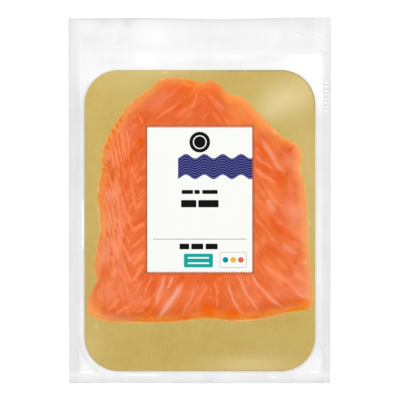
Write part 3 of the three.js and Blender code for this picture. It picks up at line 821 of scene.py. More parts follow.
def flesh():
    """Moist smoked flesh under tight film: deep orange, pale fat lines, amber where it is thin,
    with painted glow, glints and sheen and painted shade beside the label.
    """
    flesh = Finish("salmon_flesh")
    place, x, y = flesh.places()
    flake, margin, inset, pressed = map(flesh.on_mesh, ("flake", "margin", "inset", "pressed"))
    fat_and_sheen, pale, deep, nick = map(flesh.on_mesh, ("fat_and_sheen", "pale", "deep", "nick"))
    pink_and_edge_glow, amber, dusk, edge_glint = map(flesh.on_mesh, ("pink_and_edge_glow", "amber", "dusk", "edge_glint"))
    glow, fringe = map(flesh.on_mesh, ("glow", "fringe"))
    wander = flesh.noise(place, 9, 3) - 0.5
    drift = flesh.noise(place, 4, 2, stretch=(1, 0.35, 1)) - 0.5
    fine = flesh.noise(place, 1.3, 3)
    cloud = flesh.noise(place, 13, 2)
    phase = flake + wander * 0.6 + drift * margin * 1.5 + (fine - 0.5) * 0.14 - 0.4
    across = (flake + wander * 0.5) * 5
    streaky = flesh.node("CombineXYZ", None, {"X": across, "Y": y * 0.08, "Z": x * 0.05})
    grain = flesh.noise(streaky, 1, 2)
    seen = cloud.rise(0.4, 0.62)
    fibre = (phase * TURN).maths("COSINE") * margin * (0.3 + seen * 0.7)
    line = phase.maths("FRACT").near(0.5, 0.12) * seen * (1 - margin)
    foot = (0 - y).rise(30, 56) * x.rise(-54, -40)
    clear = flesh.mix(foot, paint(253, 158, 70), paint(252, 138, 24))
    ember = flesh.mix(margin, paint(224, 88, 6), paint(218, 98, 24))
    golden = flesh.mix(foot, paint(246, 162, 70), paint(255, 148, 12))
    thin = inset * (1 + (fine - 0.5) * 1.2)
    patchy = flesh.noise(place, 5, 2).rise(0.42, 0.62) * 0.4 + 0.25
    colour = flesh.over(
        paint(218, 92, 36),
        (grain.rise(0.3, 0.7), (227, 109, 52)),
        (cloud.rise(0.4, 0.7) * 0.4, (234, 121, 60)),
        # the pale pink tone of the flesh, and along the edges a painted glow
        (pink_and_edge_glow * 0.9, (240, 147, 110)),
        # deeper tone of the flesh, and beside the label partly its painted shade
        (dusk * 0.85, (214, 86, 34)),
        (fibre.rise(0.1, 0.9) * 0.35, (250, 154, 104)),
        ((0 - fibre).rise(0.1, 0.9) * 0.3, (208, 92, 32)),
        (line * 0.2 + pale * 0.85, (250, 148, 98)),
        (fat_and_sheen * 0.85, (240, 158, 122)),
        # painted sheen: the lilac crest of the strongest fat lines
        ((fat_and_sheen - 0.6) * 1.5, (216, 170, 166)),
        # the glow share is a painted glow of the card's light through the thin edge; the amber
        # share is the flesh's own colour
        (glow * 0.45 + amber * 0.5, flesh.mix(amber, paint(255, 168, 96), clear)),
        (
            (deep * 1.3).maths("MINIMUM", 1),
            flesh.mix(1 - inset.rise(3, 11), ember, paint(250, 106, 10)),
        ),
        (nick * 0.85, (178, 72, 36)),
        (
            (1 - thin.rise(0.6, 3)) * 0.65 * (1 - deep * 0.5),
            flesh.mix(amber, paint(255, 172, 92), golden),
        ),
        ((1 - thin.rise(0.1, 1.1)) * patchy * fringe, (252, 200, 118)),
        ((1 - inset.rise(-0.2, 1.1)) * (0.7 - fringe * 0.4), (206, 164, 88)),
        # painted glints along the edge
        (edge_glint, (255, 214, 136)),
        # painted shadow of the label's edge, beside its sides and past its ends
        (pressed, (160, 84, 54)),
    )
    height = grain * 0.25 + fine * 0.25 + fibre * 0.3 + (line + fat_and_sheen + pale) * 0.3 - deep * 0.4
    return flesh.surface(
        base_color=colour,
        roughness=0.5,
        specular_ior_level=0.03,
        coat_weight=0.1 * (1 - (deep + amber + dusk + glow).maths("MINIMUM", 1)),
        coat_roughness=0.12,
        subsurface_weight=0.1,
        subsurface_radius=(1.0, 0.4, 0.15),
        subsurface_scale=MM,
        # painted glow: the thin edge gives off a little light of its own
        emission_color=flesh.mix(glow, paint(0, 0, 0), paint(255, 146, 50)),
        emission_strength=0.04,
        normal=flesh.relief(height, 0.35, 0.12),
    )


# How strongly the thin edge gets its painted glow, and how crisp its pale fringe is, by the
# direction from the middle, in degrees.
ROUND_EDGE = [0, 45, 90, 135, 180, 215, 270, 315]
GLOW = [0.95, 0.8, 0.8, 0.85, 1.0, 0.8, 0.55, 1.15]
FRINGE = [0.7, 0.1, 0.3, 0.9, 1.0, 0.7, 0.8, 0.95]


def by_direction(direction, values):
    """One of the rows above, read in each direction."""
    return np.interp(np.degrees(direction) % 360, ROUND_EDGE, values, period=360)


def edge_glow(direction, inset):
    """How strongly the thin flesh near the edge is painted paler and made to glow, standing in for
    the card's light coming through it.
    """
    thin = (1 - eased(inset, 1, 7.5)) * (0.5 + 0.5 * eased(inset, 0, 1.2))
    return by_direction(direction, GLOW) * thin


def label_shadow_line(x, y):
    """1 in a thin painted shadow of the label's edge, beside its sides and past its toothed ends,
    and 0 away from it.
    """
    past_side, past_end = past_label(x, y)
    beside = (1 - eased(past_side, 0.4, 1.6)) * (past_side > -1) * (past_end < 0.5)
    beyond = (1 - eased(past_end, 0.4, 1.7)) * (past_end > -2) * (past_side < 0.5)
    return np.maximum(0.8 * beside, 0.45 * beyond)


salmon_flesh = flesh()
meshing = [(LOWER_SLICE_STEPS, LOWER_SLICE_RINGS)] * (len(SLICES) - 1)
for number, (steps, rings) in enumerate([*meshing, (TOP_SLICE_STEPS, TOP_SLICE_RINGS)]):
    points, faces = slice_skin(number, np.linspace(0, TURN, steps, endpoint=False), rings)
    x, y, _ = points.T
    direction, distance = from_middle(x, y)
    inset = stack_reach(direction) - distance
    readings = {
        "flake": flake_number(x, y),
        "margin": eased(TURN_LINE_X - x, *FINE_MARGIN) * eased(y, *FINE_FROM_FOOT),
        "inset": inset,
        "glow": edge_glow(direction, inset),
        "fringe": by_direction(direction, FRINGE),
        # the label's painted shadow
        "pressed": label_shadow_line(x, y),
        "fat_and_sheen": strokes(x, y, FAT_AND_SHEEN_LINES),
        "pale": strokes(x, y, PALE_LINES + pale_streaks),
        "deep": np.maximum(strokes(x, y, DEEP_LINES + deep_streaks), patches(x, y, EMBER_PATCHES)),
        "nick": strokes(x, y, NICKS),
        "edge_glint": strokes(x, y, EDGE_GLINTS),
        "pink_and_edge_glow": np.minimum(1, patches(x, y, PINK_PATCHES) + strokes(x, y, EDGE_GLOW_BANDS)),
        "amber": np.maximum(patches(x, y, AMBER_PATCHES), strokes(x, y, AMBER_LINES)),
        "dusk": patches(x, y, DEEP_PATCHES),
    }
    slice_made = piece(f"salmon_slice_{number + 1}", points, faces, salmon_flesh, readings)
    slice_made.data.set_sharp_from_angle(angle=math.radians(60))
    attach(slice_made, "root")


# ---- The pouch ----
# Two clear films welded at the rim. The air is drawn out, so the front film lies tight on the
# fish and the card, bridges down at their edges, and the free rim curls a little off the table.

_, POUCH_HIGH = (np.array(corner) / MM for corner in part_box("pouch"))
POUCH_HALF_WIDTH, POUCH_HALF_LENGTH = POUCH_HIGH[:2]
HEAD_EDGE_LEAN = 0.36
HEAD_EDGE_DIP = (14, 32, 0.85)  # where it dips, half how wide, and how deep
FOOT_NARROWING = 0.5  # each side runs in by this much from the head to the foot
RIM_THICKNESS = 0.3
RIM_LIFT, RIM_RIPPLE = 0.7, 0.33
CORNER_CURL, CURL_FROM_X, CURL_FROM_Y = 1.3, 30, 60  # the head's right corner curls up more
HEAD_FOLD = 0.1
BANK_RUN = 5.6  # the film starts down this far in from the fish's edge
FILM_BRIDGE = 0.9  # and comes down to the card this far out from it
SHOULDER_RUN = 0.6
SHOULDER_DROP = 0.25
CARD_OVERLAP = 0.2
TENT_WIDTH = 3.2
TENT_HOLLOW = 1.6
FILM_STEPS = 640
BACK_FILM_RINGS = 12
HEAD_FROM = 88.6  # the empty head of the pouch starts here


def head_edge(x):
    """The head edge dips right of the middle and ends higher on the right."""
    across = np.clip(x / POUCH_HALF_WIDTH, -1, 1)
    at, reach, depth = HEAD_EDGE_DIP
    dip = depth * np.exp(-(((x - at) / reach) ** 2))
    return POUCH_HALF_LENGTH - HEAD_EDGE_LEAN * (1 - across) - dip


def side_x(y):
    """Half the pouch's width at a place along it."""
    return POUCH_HALF_WIDTH - FOOT_NARROWING * (POUCH_HALF_LENGTH - y) / (2 * POUCH_HALF_LENGTH)


def pouch_reach(direction):
    """How far the pouch reaches in a direction."""
    c, s = np.cos(direction), np.sin(direction)
    towards_side = np.abs(c) - FOOT_NARROWING / (2 * POUCH_HALF_LENGTH) * s
    to_side = side_x(STACK_MIDDLE[1]) / np.maximum(towards_side, 1e-9)
    s = np.where(np.abs(s) < 1e-9, 1e-9, s)
    to_foot = (POUCH_HALF_LENGTH + STACK_MIDDLE[1]) / np.abs(s)
    to_head = (POUCH_HALF_LENGTH - STACK_MIDDLE[1]) / np.abs(s)
    for _ in range(8):
        to_head = (head_edge(to_head * c) - STACK_MIDDLE[1]) / np.abs(s)
    return np.minimum(to_side, np.where(s > 0, to_head, to_foot))


def rim_lift(x, y, direction, distance):
    """How far the free rim stands off the table."""
    start = card_reach(direction)
    outward = np.maximum(0, (distance - start) / (pouch_reach(direction) - start))
    ripple = np.sin(x / 13 + 1) + np.sin(y / 19 + x / 31)
    corner = eased(x, CURL_FROM_X, POUCH_HALF_WIDTH) * eased(y, CURL_FROM_Y, POUCH_HALF_LENGTH)
    return outward**1.5 * (RIM_LIFT + RIM_RIPPLE * ripple + CORNER_CURL * corner)


def head_folds(x, y):
    """Soft upright folds in the wide empty head of the pouch."""
    folds = np.sin(x / 5.2 + 0.8) + 0.7 * np.sin(x / 3.1 + y / 17 + 2)
    return eased(y, 80, 96) * HEAD_FOLD * folds


def film_top(x, y, direction, distance):
    """The front film's height past the card."""
    return rim_lift(x, y, direction, distance) + RIM_THICKNESS + head_folds(x, y)


def clear_film():
    """Clear glossy film, a little smoky where it is slack or welded and darkest at its cut, with a
    painted milky glare over the card and a painted gold reflection beside it.
    """
    film = Finish("clear_film")
    place, x, y = film.places()
    off_card, to_edge, haze = map(film.on_mesh, ("off_card", "to_edge", "haze"))
    film_glare, card_reflection = map(film.on_mesh, ("film_glare", "card_reflection"))
    outside = off_card.rise(-0.2, 0.5)
    cut_line = 1 - to_edge.rise(0.4, 1.2)
    step_line = y.near(HEAD_FROM, 0.9) * (x.rise(50, 56) + (0 - x).near(70, 8) * 0.5)
    cloud = film.noise(place, 14, 2, stretch=(1, 0.5, 1)).rise(0.35, 0.7)
    streak = film.noise(place, 5, 3, stretch=(1, 0.12, 1)).rise(0.4, 0.8)
    smoke = haze * (0.9 + cloud * 0.2 + streak * 0.12) + cut_line * 0.035 + step_line * 0.03
    card_reflection_share = card_reflection * (1 - off_card.rise(0.5, 1.8))
    grazing = film.node("LayerWeight", None, {"Blend": 0.35}, output="Facing") ** 3
    crinkle = film.noise(place, 2.6, 3) + film.noise(place, 9, 2) * 1.5
    # over the card, the painted glare
    alpha = outside * (smoke + grazing * 0.3 + card_reflection_share * 0.05) + (1 - outside) * film_glare * 0.12
    # painted reflection of the gold card in the film
    grey = film.mix(card_reflection_share, paint(168, 170, 174), paint(196, 168, 112))
    return film.surface(
        base_color=film.mix(outside, paint(244, 242, 230), grey),
        roughness=0.14,
        ior=1.6,
        alpha=alpha,
        normal=film.relief(crinkle, 0.35, 0.08),
    )


def between(start, end, share):
    """The outline that lies a share of the way from one outline to another."""
    return lambda direction: start(direction) + share * (end(direction) - start(direction))


def further(reach, by):
    """The outline that runs `by` further out than another."""
    return lambda direction: reach(direction) + by


bank_top, bank_foot = further(stack_reach, -BANK_RUN), further(stack_reach, FILM_BRIDGE)
card_shoulder = further(card_reach, -SHOULDER_RUN)
card_overlap, tent_foot = further(card_reach, CARD_OVERLAP), further(card_reach, TENT_WIDTH)


def on_card(*_):
    """The front film's height on the card."""
    return CARD_TOP


def tent_height(x, y, direction, distance):
    """The front film runs from the card's edge down to the back film in a hollow curve."""
    out = np.clip((distance - card_overlap(direction)) / (TENT_WIDTH - CARD_OVERLAP), 0, 1)
    foot = film_top(x, y, direction, distance)
    return foot + (CARD_TOP - SHOULDER_DROP - foot) * (1 - out) ** TENT_HOLLOW


# The directions of the film's points, with the nearest one moved to each corner.
film_around = np.linspace(0, TURN, FILM_STEPS, endpoint=False)
for side in (-1, 1):
    for corner_y in (-POUCH_HALF_LENGTH, float(head_edge(side * POUCH_HALF_WIDTH))):
        corner = from_middle(side * side_x(corner_y), corner_y)[0] % TURN
        film_around[round(corner / TURN * FILM_STEPS) % FILM_STEPS] = corner

# The film's rings from the middle out: where they start and end, their heights, and how many.
FILM_BANDS = [
    (lambda d: 0 * d, label_reach, front_height, 4),
    (label_reach, bank_top, front_height, 30),
    (bank_top, bank_foot, front_height, 12),
    (bank_foot, card_shoulder, on_card, 12),
    (card_shoulder, card_overlap, lambda *_: CARD_TOP - SHOULDER_DROP, 1),
    (card_overlap, tent_foot, tent_height, 7),
    (tent_foot, pouch_reach, film_top, 22),
]
film_rings = []
for start, end, height, count in FILM_BANDS:
    for share in np.linspace(0, 1, count + 1)[1:]:
        film_rings.append(ring(between(start, end, share), height, film_around))
for share in np.linspace(1, 0, BACK_FILM_RINGS):
    film_rings.append(ring(between(tent_foot, pouch_reach, share), rim_lift, film_around))
film_rings.append(ring(card_shoulder, lambda *_: 0, film_around))

# Painted glare: where the film over the card is painted milky, standing in for the lamps' glare on
# it.
FILM_GLARE_PATCHES = [
    (48, 60, 14, 10, 0.5), (40, 50, 10, 10, 0.2), (42, -93, 18, 6, 0.3), (-30, 74, 16, 5, 0.25),
    (-62, -76, 2.5, 8, 0.3), (66, -14, 2, 12, 0.3), (12, 76.5, 10, 2.5, 0.15),
]
# How smoky the film looks in each zone, as the share of the light that it stops: at places along
# its length for the zones at its sides, and in from its edge for the foot.
SMOKE_AT = [-80, -33, 27, 50, 66]
SMOKE_BESIDE_CARD = {-1: [0.06, 0.085, 0.096, 0.096, 0.08], 1: [0.095, 0.067, 0.086, 0.086, 0.0]}
SMOKE_ON_SEAL = {-1: [0.112, 0.122, 0.122, 0.12, 0.118], 1: [0.114, 0.114, 0.114, 0.112, 0.11]}
SEAL_WIDTH = {-1: 6.6, 1: 5.2}
SEAL_CLEARING = 0.034  # how much clearer the seals get inwards at the head
FOOT_FROM_EDGE = [0, 2.2, 2.8, 4.8, 5.6, 7.5]
SMOKE_AT_FOOT = [0.125, 0.112, 0.097, 0.077, 0.067, 0.062]
BELOW_CARD, BELOW_CARD_RUN = 0.064, (84, 100)
BELOW_HEAD, BELOW_HEAD_RUN = 0.044, (62, 74)
HEAD_HAZE = 0.06
HEAD_LINE = [(1.4, 0.03), (5, 0.02)]  # darker bands along the head edge: how wide and how smoky
SLACK_RIDGE, SLACK_FROM_CARD = 0.045, 3.6  # a slack ridge round the card's lower left corner
# Folds and slack that make it more smoky or, below 0, clearer; in part this is painted light and
# shade on the folds.
HAZE_AND_FOLD_LIGHT_PATCHES = [
    (-67, 96, 6, 4, 0.022), (-56, 107, 5, 3, 0.035), (-43, 107, 5, 3.5, 0.045),
    (-26, 98, 8, 7, -0.034), (9, 96.5, 9, 2.4, 0.02), (12, 106, 10, 3, 0.018),
    (64, 93, 8, 4, 0.018), (64, 105, 12, 4, 0.03), (-48, 97, 2, 7, 0.02), (-44, 98, 4, 2.5, 0.015),
    (-32, 84, 8, 4, -0.034), (-52, 83, 9, 4, 0.014), (63, 80, 11, 6.4, -0.06), (0, 83, 5, 3, 0.018),
    (37, 84.5, 9, 2, 0.03), (-70, 82, 3, 5, 0.01), (8, 81.5, 26, 2.6, 0.022),
    (40, 106, 11, 3, 0.022), (-44, 106, 4, 2, 0.012), (-50, 82, 12, 4, 0.008),
    (20, 86, 7, 0.9, -0.02), (71.5, 76, 2.2, 12, -0.05), (-67.5, -99, 5, 3.5, -0.02),
    (70, -98, 5, 3, -0.012), (-36, -105, 12, 1, -0.02), (5, 103, 8, 3, 0.012),
    (46, 98, 5, 6, -0.008), (-12, 84, 9, 4, -0.012), (30, 99, 9, 5, 0.004), (-76, 104, 3, 5, 0.02),
    (76, 104, 3, 5, 0.02),
]


def film_haze(x, y, off_card):
    """How smoky the film is past the card."""
    from_side, from_foot = side_x(y) - np.abs(x), y + POUCH_HALF_LENGTH
    left = x < 0
    beside, seal = (
        np.where(left, *(np.interp(y, SMOKE_AT, smoke[side]) for side in (-1, 1)))
        for smoke in (SMOKE_BESIDE_CARD, SMOKE_ON_SEAL)
    )
    haze = beside + (BELOW_CARD - beside) * eased(-y, *BELOW_CARD_RUN)
    haze = haze + (BELOW_HEAD - haze) * eased(y, *BELOW_HEAD_RUN)
    haze = haze + (HEAD_HAZE - haze) * eased(y, HEAD_FROM - 0.5, HEAD_FROM + 0.8)
    for at_x, at_y, reach_x, reach_y, change in HAZE_AND_FOLD_LIGHT_PATCHES:
        haze = haze + change * np.exp(-(((x - at_x) / reach_x) ** 2) - ((y - at_y) / reach_y) ** 2)
    slack_corner = eased(-x, 46, 58) * eased(-y, 78, 88)
    ridge = 1 - eased(np.abs(off_card - SLACK_FROM_CARD), 0.5, 1.3)
    haze = haze + SLACK_RIDGE * slack_corner * ridge
    for reach, change in HEAD_LINE:
        haze = haze + change * (1 - eased(head_edge(x) - y, 0.2, reach))
    seal_width = np.where(left, SEAL_WIDTH[-1], SEAL_WIDTH[1])
    seal = seal - SEAL_CLEARING * eased(y, 60, 78) * eased(from_side, 0.5, 5)
    haze = haze + (seal - haze) * (1 - eased(from_side, seal_width - 1, seal_width + 0.6))
    at_foot = np.interp(from_foot, FOOT_FROM_EDGE, SMOKE_AT_FOOT)
    haze = haze + (at_foot - haze) * (1 - eased(from_foot, *FOOT_FROM_EDGE[-2:]))
    return np.maximum(0, haze)


film_points, film_faces = skin_of_rings(film_rings)
x, y, _ = film_points.T
direction, distance = from_middle(x, y)
off_card = distance - card_reach(direction)
to_end = np.minimum(POUCH_HALF_LENGTH + y, head_edge(x) - y)
film_readings = {
    "off_card": off_card,
    "to_edge": np.minimum(side_x(y) - np.abs(x), to_end),
    "film_glare": patches(x, y, FILM_GLARE_PATCHES),
    "haze": film_haze(x, y, off_card),
    # A painted reflection of the card's gold in the film beside it, on the right and at the foot.
    "card_reflection": np.maximum(eased(x, 50, 66), eased(-y, 84, 98) * eased(x, -60, -40)),
}
pouch = piece("film_pouch", film_points, film_faces, clear_film(), film_readings)
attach(pouch, "root")
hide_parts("pouch")


# ---- The film's creases and the seal's ribs ----
# Fine raised lines that run over the front film, coloured with painted light and shade: painted
# glints that glow where it is creased, painted shade lines in their lee, and a short row of ribs
# that the welding jaw left on the right seam, each painted as a shade line over a glint.

LINE_STEP = 1.5
LINE_FLATNESS = 0.35
LINE_SIDES = 8
LINE_LIFT = 0.02  # the middle of each line lies this far above the film
# Each line as its turns, its half width, its strength and its tone: dark for painted shade, cream
# or white for a painted glint.
CREASES = [
    ([(-73, -103.4), (-64, -103.6)], 0.5, 0.3, 1), ([(65, -103.4), (72, -103.6)], 0.5, 0.25, 1),
    ([(-46, -104.8), (-36, -105.2), (-25, -105)], 0.55, 0.22, 1),
    ([(42, -106.5), (46, -106.4)], 0.45, 0.25, 1), ([(-18, -109), (8, -109)], 0.35, 0.07, 0),
    ([(55, -109), (75, -109)], 0.35, 0.07, 0), ([(13, 85.6), (20, 86), (27, 85.8)], 0.6, 0.07, 1),
    ([(1.1, 91), (1.1, 94.6)], 0.4, 0.16, 1), ([(1.8, 91), (1.8, 94.6)], 0.3, 0.05, 0),
    ([(-51, 92.2), (-46, 92.1)], 0.4, 0.16, 1), ([(-51, 93), (-46, 92.9)], 0.35, 0.06, 0),
    ([(57, 99.4), (61, 99.3)], 0.4, 0.11, 1), ([(57, 100.2), (61, 100.1)], 0.35, 0.06, 0),
    ([(69, 99.4), (75, 99.3)], 0.4, 0.12, 1), ([(69, 100.2), (75, 100.1)], 0.35, 0.06, 0),
    ([(71, 90.3), (77, 90.2)], 0.4, 0.11, 1), ([(71, 89.5), (77, 89.4)], 0.35, 0.06, 0),
    ([(71, 88.1), (77, 88)], 0.4, 0.09, 1), ([(71, 87.3), (77, 87.2)], 0.35, 0.06, 0),
    ([(71.6, -85.6), (74, -91), (75.4, -96), (75.6, -100)], 0.6, 0.03, 0),
    ([(-70.1, 0), (-70.1, -30)], 0.4, 0.3, 1), ([(65.6, -12.4), (66.2, -15.4)], 0.6, 0.16, 0.5),
    ([(-62, -72.6), (-62.4, -78)], 0.7, 0.07, 0.5), ([(-24, 76.6), (-18, 76.2)], 0.5, 0.14, 0.5),
    ([(-12, 75.4), (-10, 75.6)], 0.5, 0.12, 0.5), ([(26, 77.6), (28.4, 77.8)], 0.45, 0.12, 0.5),
    ([(10.9, -54.6), (10.8, -55.7)], 0.6, 0.55, 0.5),
    ([(10.3, -62.9), (10.3, -63.8)], 0.5, 0.45, 0.5),
    ([(32.6, -46.8), (33.2, -48.2)], 0.45, 0.4, 0.5),
    ([(34.2, -49.6), (34.7, -50.5)], 0.45, 0.35, 0.5),
    ([(63.3, -37.3), (63.9, -38.1)], 0.5, 0.25, 0.5), ([(40.2, 0.2), (41, -1.2)], 0.4, 0.2, 0.5),
]
RIBS, RIB_PITCH, FIRST_RIB_Y = 8, 2.43, 54.3
RIB_FROM, RIB_TO, RIB_HALF_WIDTH, RIB_GLINT_BELOW = 74.3, 77.2, 0.4, 0.75
SEAL_RIBS = []
for rib_y in (FIRST_RIB_Y + RIB_PITCH * k for k in range(RIBS)):
    for line_y, strength, tone in ((rib_y, 0.1, 0), (rib_y - RIB_GLINT_BELOW, 0.3, 1)):
        ends = [(RIB_FROM, line_y), (RIB_TO, line_y)]
        SEAL_RIBS.append((ends, RIB_HALF_WIDTH, strength, tone))


def film_height(x, y):
    """The front film's height at any place."""
    direction, distance = from_middle(x, y)
    place = (x, y, direction, distance)
    within = [distance < end(direction) for end in (bank_foot, card_overlap, tent_foot)]
    heights = [height(*place) for height in (front_height, on_card, tent_height)]
    return np.select(within, heights, film_top(*place))


def line_mesh(name, lines):
    """The lines as bare edges on the film, with a width, a strength and a tone at each point."""
    points, edges, readings = [], [], []
    for turns, half_width, strength, tone in lines:
        line = softened(turns)
        run = np.insert(np.cumsum(np.hypot(*np.diff(line, axis=0).T)), 0, 0)
        even = np.linspace(0, run[-1], max(4, int(run[-1] / LINE_STEP) + 1))
        to_end = np.minimum(even, run[-1] - even)
        taper = np.sqrt(np.clip(to_end / (2 * half_width), 0.08, 1))
        first = len(points)
        edges += [(first + k, first + k + 1) for k in range(len(even) - 1)]
        points += zip(*(np.interp(even, run, line[:, axis]) for axis in (0, 1)))
        readings += [(half_width * MM * share, strength * share, tone) for share in taper]
    x, y = np.array(points).T
    mesh = bpy.data.meshes.new(name)
    mesh.from_pydata(np.column_stack([x, y, film_height(x, y) + LINE_LIFT]) * MM, edges, [])
    for label, values in zip(("half_width", "strength", "tone"), np.array(readings).T):
        mesh.attributes.new(label, "FLOAT", "POINT").data.foreach_set("value", values)
    return mesh


def line_tree():
    """Sweeps a flattened ring along every line. Its points keep how high they stand, as "dome"."""
    tree = bpy.data.node_groups.new("film_lines", "GeometryNodeTree")
    inputs = {"Lines": "Geometry", "Flatness": "Float", "Sides": "Int", "Finish": "Material"}
    for name, kind in inputs.items():
        tree.interface.new_socket(name, in_out="INPUT", socket_type="NodeSocket" + kind)
    tree.interface.new_socket("Creases", in_out="OUTPUT", socket_type="NodeSocketGeometry")

    def node(*asked, **output):
        return add_node(tree, *asked, **output)

    lines, flatness, sides, finish = (node("NodeGroupInput", output=k) for k in range(4))
    circle = node("GeometryNodeCurvePrimitiveCircle", None, {"Resolution": sides, "Radius": 1.0})
    down = node("ShaderNodeSeparateXYZ", None, {0: node("GeometryNodeInputPosition")}, output=1)
    up = node("ShaderNodeMath", {"operation": "MULTIPLY"}, {0: down, 1: -1.0})
    stored = {"Geometry": circle, "Name": "dome", "Value": up}
    circle = node("GeometryNodeStoreNamedAttribute", {"data_type": "FLOAT"}, stored)
    flat = node("ShaderNodeCombineXYZ", None, {"X": 1.0, "Y": flatness, "Z": 1.0})
    circle = node("GeometryNodeTransform", None, {"Geometry": circle, "Scale": flat})
    curve = node("GeometryNodeMeshToCurve", None, {"Mesh": lines})
    curve = node("GeometryNodeSetCurveNormal", {"mode": "Z_UP"}, {"Curve": curve})
    width = node("GeometryNodeInputNamedAttribute", {"data_type": "FLOAT"}, {"Name": "half_width"})
    swept = {"Curve": curve, "Profile Curve": circle, "Scale": width, "Fill Caps": True}
    made = node("GeometryNodeCurveToMesh", None, swept)
    made = node("GeometryNodeRealizeInstances", None, {"Geometry": made})
    made = node("GeometryNodeSetMaterial", None, {"Geometry": made, "Material": finish})
    node("NodeGroupOutput", None, {0: made})
    return tree


def crease_glints_and_shade():
    """Film seen on a crease: a painted white glint that glows, or a painted grey shade line,
    strongest along its crest.
    """
    film = Finish("crease_glints_and_shade")
    dome, strength, tone = map(film.on_mesh, ("dome", "strength", "tone"))
    lit = film.mix(tone.rise(0.5, 1), paint(255, 236, 206), paint(255, 255, 255))
    return film.surface(
        base_color=film.mix(tone.rise(0, 0.5), paint(96, 98, 104), lit),
        roughness=0.4,
        specular_ior_level=0.1,
        # painted glints give off light of their own
        emission_color=film.mix(tone.rise(0, 0.5), paint(0, 0, 0), lit),
        emission_strength=0.9,
        alpha=dome.rise(0, 0.9) * strength,
    )


crease_finish = crease_glints_and_shade()
crease_tree = line_tree()
for name, lines in (("film_creases", CREASES), ("seal_ribs", SEAL_RIBS)):
    host = bpy.data.objects.new(name, line_mesh(name + "_lines", lines))
    bpy.context.scene.collection.objects.link(host)
    modifier = host.modifiers.new("sweep", "NODES")
    modifier.node_group = crease_tree
    sizes = {"Flatness": LINE_FLATNESS, "Sides": LINE_SIDES, "Finish": crease_finish}
    for socket in crease_tree.interface.items_tree:
        if socket.name in sizes:
            modifier[socket.identifier] = sizes[socket.name]
    seen = host.evaluated_get(bpy.context.evaluated_depsgraph_get())
    plain = bpy.data.meshes.new_from_object(seen)
    host.modifiers.remove(modifier)
    host.data = plain
    plain.shade_smooth()
    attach(host, "root")


# ---- The label ----
# A white coated paper label, die-cut with finely toothed ends and stuck on the front film.

TEETH = 37
TOOTH_DEPTH = 0.95
PAPER = 0.16
LABEL_GAP = 0.3
LABEL_ROWS = 72
ROWS_BEHIND = 0.4  # the rows near the middle lie up to this much further from the teeth
INK_EDGE = 0.06  # half how softly the print ends

# A grid of points whose first and last rows are the teeth.
columns = 2 * TEETH + 1
across, along = np.linspace(-1, 1, columns), np.linspace(-1, 1, LABEL_ROWS + 1)
grid_x, share_y = np.meshgrid(across * LABEL_HALF_WIDTH, along)
tooth = np.where(np.arange(columns) % 2, 0, -TOOTH_DEPTH)
row_short = -TOOTH_DEPTH - ROWS_BEHIND * (1 - np.abs(share_y))
short = np.where(np.abs(share_y) == 1, tooth[None, :], row_short)
grid_y = LABEL_MIDDLE_Y + share_y * (LABEL_HALF_LENGTH + short)
back = panel_height(grid_x, grid_y) + LABEL_GAP
low_points = np.column_stack([grid_x.ravel(), grid_y.ravel(), back.ravel()])
high_points = low_points + [0, 0, PAPER]
label_faces = []
total = len(low_points)
for row in range(LABEL_ROWS):
    for column in range(columns - 1):
        a = row * columns + column
        b, c, d = a + 1, a + 1 + columns, a + columns
        label_faces.append((total + a, total + b, total + c, total + d))
        label_faces.append((a, d, c, b))
edge_loop = [*range(columns), *range(2 * columns - 1, total, columns)]
edge_loop += range(total - 2, total - columns - 1, -1)
edge_loop += range(total - 2 * columns, 0, -columns)
for a, b in zip(edge_loop, edge_loop[1:] + edge_loop[:1]):
    label_faces.append((a, b, total + b, total + a))


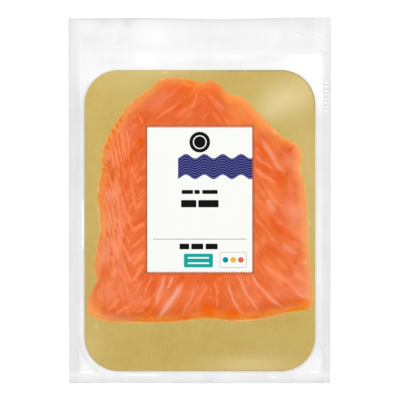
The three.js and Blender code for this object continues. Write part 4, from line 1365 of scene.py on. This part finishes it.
def printed_paper():
    """White coated paper with a plain generic print: a disc, a band of waves, bars and boxes."""
    paper = Finish("label_paper")
    place, x, y = paper.places()
    fibre = paper.noise(place, 0.7, 3)
    colour = paper.mix(fibre.rise(0.3, 0.8) * 0.25, paint(238, 239, 235), paint(234, 235, 231))

    def inside(value, half):
        return 1 - abs(value).rise(half - INK_EDGE, half + INK_EDGE)

    def box(middle_x, middle_y, half_x, half_y):
        return inside(x - middle_x, half_x) * inside(y - middle_y, half_y)

    def rounded(middle_x, middle_y, half_x, half_y, corner, swell=0.0):
        out_x = (abs(x - middle_x) - (half_x - corner)).maths("MAXIMUM", 0)
        out_y = (abs(y - middle_y) - (half_y - corner)).maths("MAXIMUM", 0)
        away = (out_x * out_x + out_y * out_y).maths("SQRT")
        return 1 - away.rise(corner + swell - INK_EDGE, corner + swell + INK_EDGE)

    def stamped(mask, ink):
        nonlocal colour
        colour = paper.mix(mask, colour, paint(*ink))

    black, navy, white = (8, 8, 9), (28, 30, 100), (240, 241, 237)
    stamped(rounded(0, 34.6, 6.2, 6.2, 6.2), black)
    stamped(rounded(0, 34.6, 4.1, 4.1, 4.1) * (1 - rounded(0, 34.6, 3.5, 3.5, 3.5)), white)
    wave = (x * (TURN / 11)).maths("SINE")
    band = inside(y - 20 - wave * 1.3, 6.2) * inside(x - 9.6, 22.6)
    stamped(band, navy)
    stripe = ((y - 20 - wave * 1.3) / 1.55).maths("FRACT").near(0.5, 0.2)
    stamped(band * stripe * 0.55, (150, 152, 205))
    for middle_x, half in ((-7.4, 3.4), (-1.6, 1.6), (6.1, 4.6)):
        stamped(rounded(middle_x, 4.8, half, 1.2, 0.5), black)
    for middle_x, half in ((-6.6, 4.6), (5.2, 6.1)):
        stamped(rounded(middle_x, -2.2, half, 2.2, 0.7), black)
    stamped(box(0, -23.4, 28, 0.22), (150, 150, 148))
    for middle_x, half in ((-9.2, 2.9), (-1.5, 3.6), (7.1, 3.6)):
        stamped(rounded(middle_x, -27.8, half, 1.7, 0.5), black)
    stamped(rounded(-0.8, -36.2, 8.7, 4.1, 0.9), (0, 160, 154))
    for level in (-34.6, -37.8):
        stamped(rounded(-0.8, level, 6.4, 0.45, 0.45), white)
    frame_box = rounded(20, -35.8, 8, 4.7, 1.4)
    stamped(frame_box * (1 - rounded(20, -35.8, 8, 4.7, 1.4, swell=-0.25)), (150, 150, 150))
    for middle_x, ink in ((15.4, (0, 140, 150)), (20, (236, 170, 60)), (24.6, (222, 92, 74))):
        stamped(rounded(middle_x, -35.8, 1.7, 1.7, 1.7), ink)
    return paper.surface(
        base_color=colour,
        roughness=0.5,
        specular_ior_level=0.05,
        normal=paper.relief(fibre, 0.15, 0.03),
    )


label = piece("paper_label", np.vstack([low_points, high_points]), label_faces, printed_paper())
label.data.set_sharp_from_angle(angle=math.radians(50))
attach(label, "root")
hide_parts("label")


# ---- The table, the lights and the camera ----
# A white table in a white room, lit by two broad soft lamps and seen from straight above.

def table_paint():
    table = Finish("white_table")
    return table.surface(base_color=(0.95, 0.95, 0.95, 1), roughness=0.8, specular_ior_level=0.1)


TABLE_HALF = 1500
table_corners = np.array([[-1, -1, 0], [1, -1, 0], [1, 1, 0], [-1, 1, 0]]) * float(TABLE_HALF)
table = piece("table", table_corners, [(0, 1, 2, 3)], table_paint())


def soft_lamp(name, towards, spread, strength):
    """A far, broad lamp that lights everything evenly from one side."""
    data = bpy.data.lights.new(name, "SUN")
    data.angle, data.energy = math.radians(spread), strength
    made = bpy.data.objects.new(name, data)
    made.rotation_euler = Vector(towards).to_track_quat("Z", "Y").to_euler()
    bpy.context.scene.collection.objects.link(made)


world = bpy.data.worlds.new("white_room")
world.use_nodes = True
room = world.node_tree.nodes["Background"].inputs
room["Color"].default_value = (1, 1, 1, 1)
room["Strength"].default_value = 0.6
bpy.context.scene.world = world
soft_lamp("key", (-0.25, 0.42, 1.4), 40, 1.2)
soft_lamp("fill", (0.8, -0.1, 1.2), 60, 0.6)

# The camera's sizes are metres.
CAMERA_HEIGHT = 2.0
SEEN_WIDTH = 0.240  # across the picture, at the pack
PACK_LEVEL = 0.002
SENSOR = 36
CAMERA_X = 0.00015
camera_data = bpy.data.cameras.new("camera")
camera_data.sensor_width = SENSOR
camera_data.lens = SENSOR * (CAMERA_HEIGHT - PACK_LEVEL) / SEEN_WIDTH
camera = bpy.data.objects.new("camera", camera_data)
camera.location = (CAMERA_X, 0, CAMERA_HEIGHT)
bpy.context.scene.collection.objects.link(camera)
bpy.context.scene.camera = camera
bpy.context.scene.view_settings.view_transform = "Standard"
